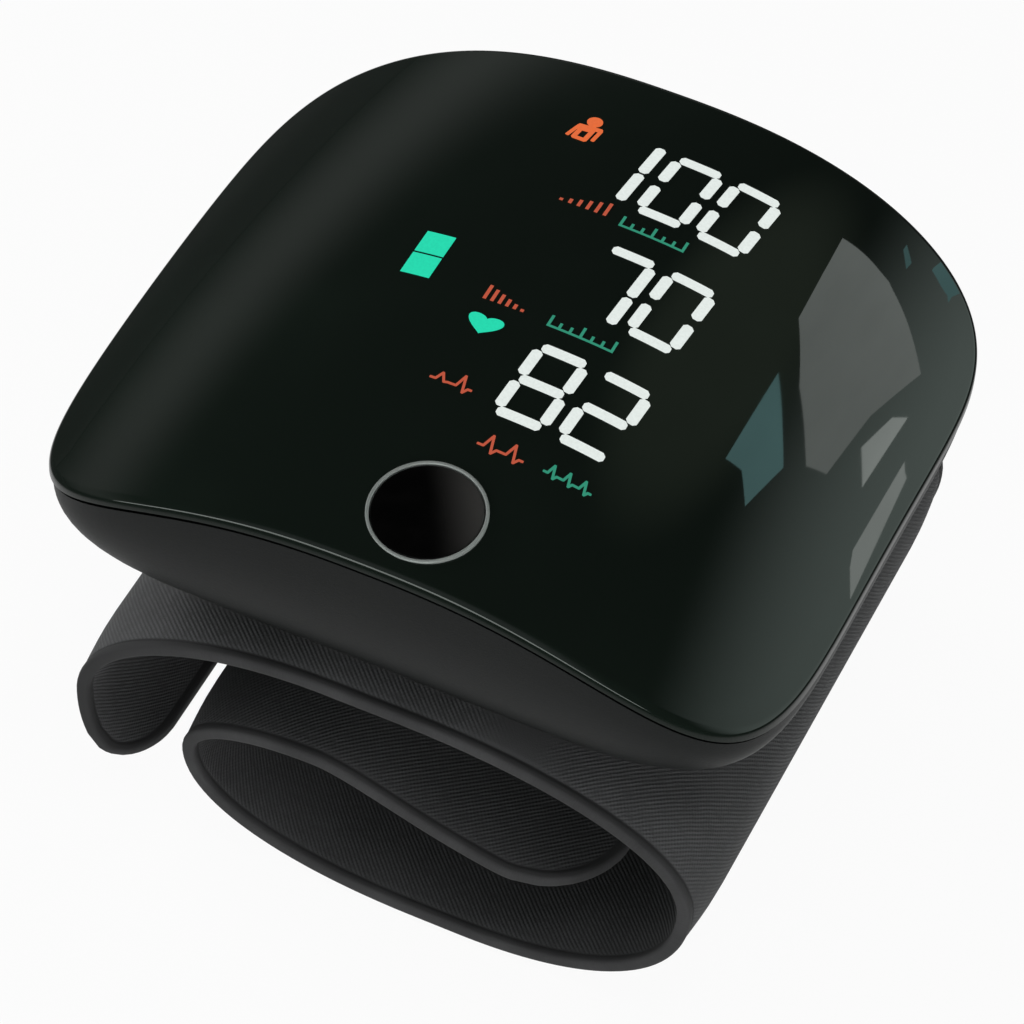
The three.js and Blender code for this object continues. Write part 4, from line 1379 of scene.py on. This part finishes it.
class MONITOR_OT_stage(bpy.types.Operator):
    """Sets the floor, the lamps, the room and the camera"""

    bl_idname = "monitor.stage"
    bl_label = "Stage"

    def execute(self, context):
        stage = context.scene.monitor_stage
        floor = added(
            "floor", bpy.ops.mesh.primitive_circle_add,
            vertices=96, radius=FLOOR_RADIUS, fill_type="NGON", location=(0, 0, -FLOOR_DROP))
        applied(floor)
        floor.data.materials.append(
            material("floor_paper", floor_paint, tuple(stage.floor), tuple(stage.far_floor)))

        for lamp in LAMPS:
            softbox(*lamp)
        for window in WINDOWS:
            pane(*window)
        for i, ((a, low_a, high_a), (b, low_b, high_b)) in enumerate(zip(FRONT_WINDOWS, FRONT_WINDOWS[1:])):
            corners = (a, low_a), (b, low_b), (b, high_b), (a, high_a)
            pane(f"front_window_{i + 1}", DAYLIGHT, FRONT_STRENGTH, *corners)
        context.scene.world = studio_world()

        bpy.ops.object.camera_add(location=stage.place)
        camera = bpy.context.object
        flat = math.cos(stage.elevation)
        back = Vector((
            math.sin(stage.azimuth) * flat, -math.cos(stage.azimuth) * flat, math.sin(stage.elevation)))
        look = (-back).to_track_quat("-Z", "Y").to_matrix().to_4x4()
        camera.matrix_world = Matrix.Translation(stage.place) @ look @ Matrix.Rotation(stage.roll, 4, "Z")
        camera.data.sensor_width = 36
        camera.data.lens = stage.lens
        camera.data.clip_start = 0.01
        context.scene.camera = camera
        context.scene.view_settings.view_transform = "Standard"
        return {"FINISHED"}


# Sidebar and running

class MONITOR_PT_pieces(bpy.types.Panel):
    """Lists the monitor's pieces"""

    bl_idname = "MONITOR_PT_pieces"
    bl_label = "Wrist Monitor"
    bl_space_type = "VIEW_3D"
    bl_region_type = "UI"
    bl_category = "Wrist Monitor"

    def draw(self, context):
        for operator in OPERATORS:
            self.layout.operator(operator.bl_idname)


SETTINGS = {
    "monitor_case": CaseSettings,
    "monitor_button": ButtonSettings,
    "monitor_display": DisplaySettings,
    "monitor_cuff": CuffSettings,
    "monitor_stage": StageSettings,
}
OPERATORS = [
    MONITOR_OT_case, MONITOR_OT_button, MONITOR_OT_display,
    MONITOR_OT_cuff, MONITOR_OT_inner, MONITOR_OT_stage,
]


def register():
    for kind in [*SETTINGS.values(), *OPERATORS, MONITOR_PT_pieces]:
        bpy.utils.register_class(kind)
    for name, kind in SETTINGS.items():
        setattr(bpy.types.Scene, name, PointerProperty(type=kind))


def unregister():
    for name in SETTINGS:
        delattr(bpy.types.Scene, name)
    for kind in [MONITOR_PT_pieces, *reversed(OPERATORS), *SETTINGS.values()]:
        bpy.utils.unregister_class(kind)


def main():
    register()
    bpy.ops.monitor.case()
    bpy.ops.monitor.button()
    bpy.ops.monitor.display()
    bpy.ops.monitor.cuff()
    bpy.ops.monitor.inner()
    bpy.ops.monitor.stage()


if __name__ == "__main__":
    main()
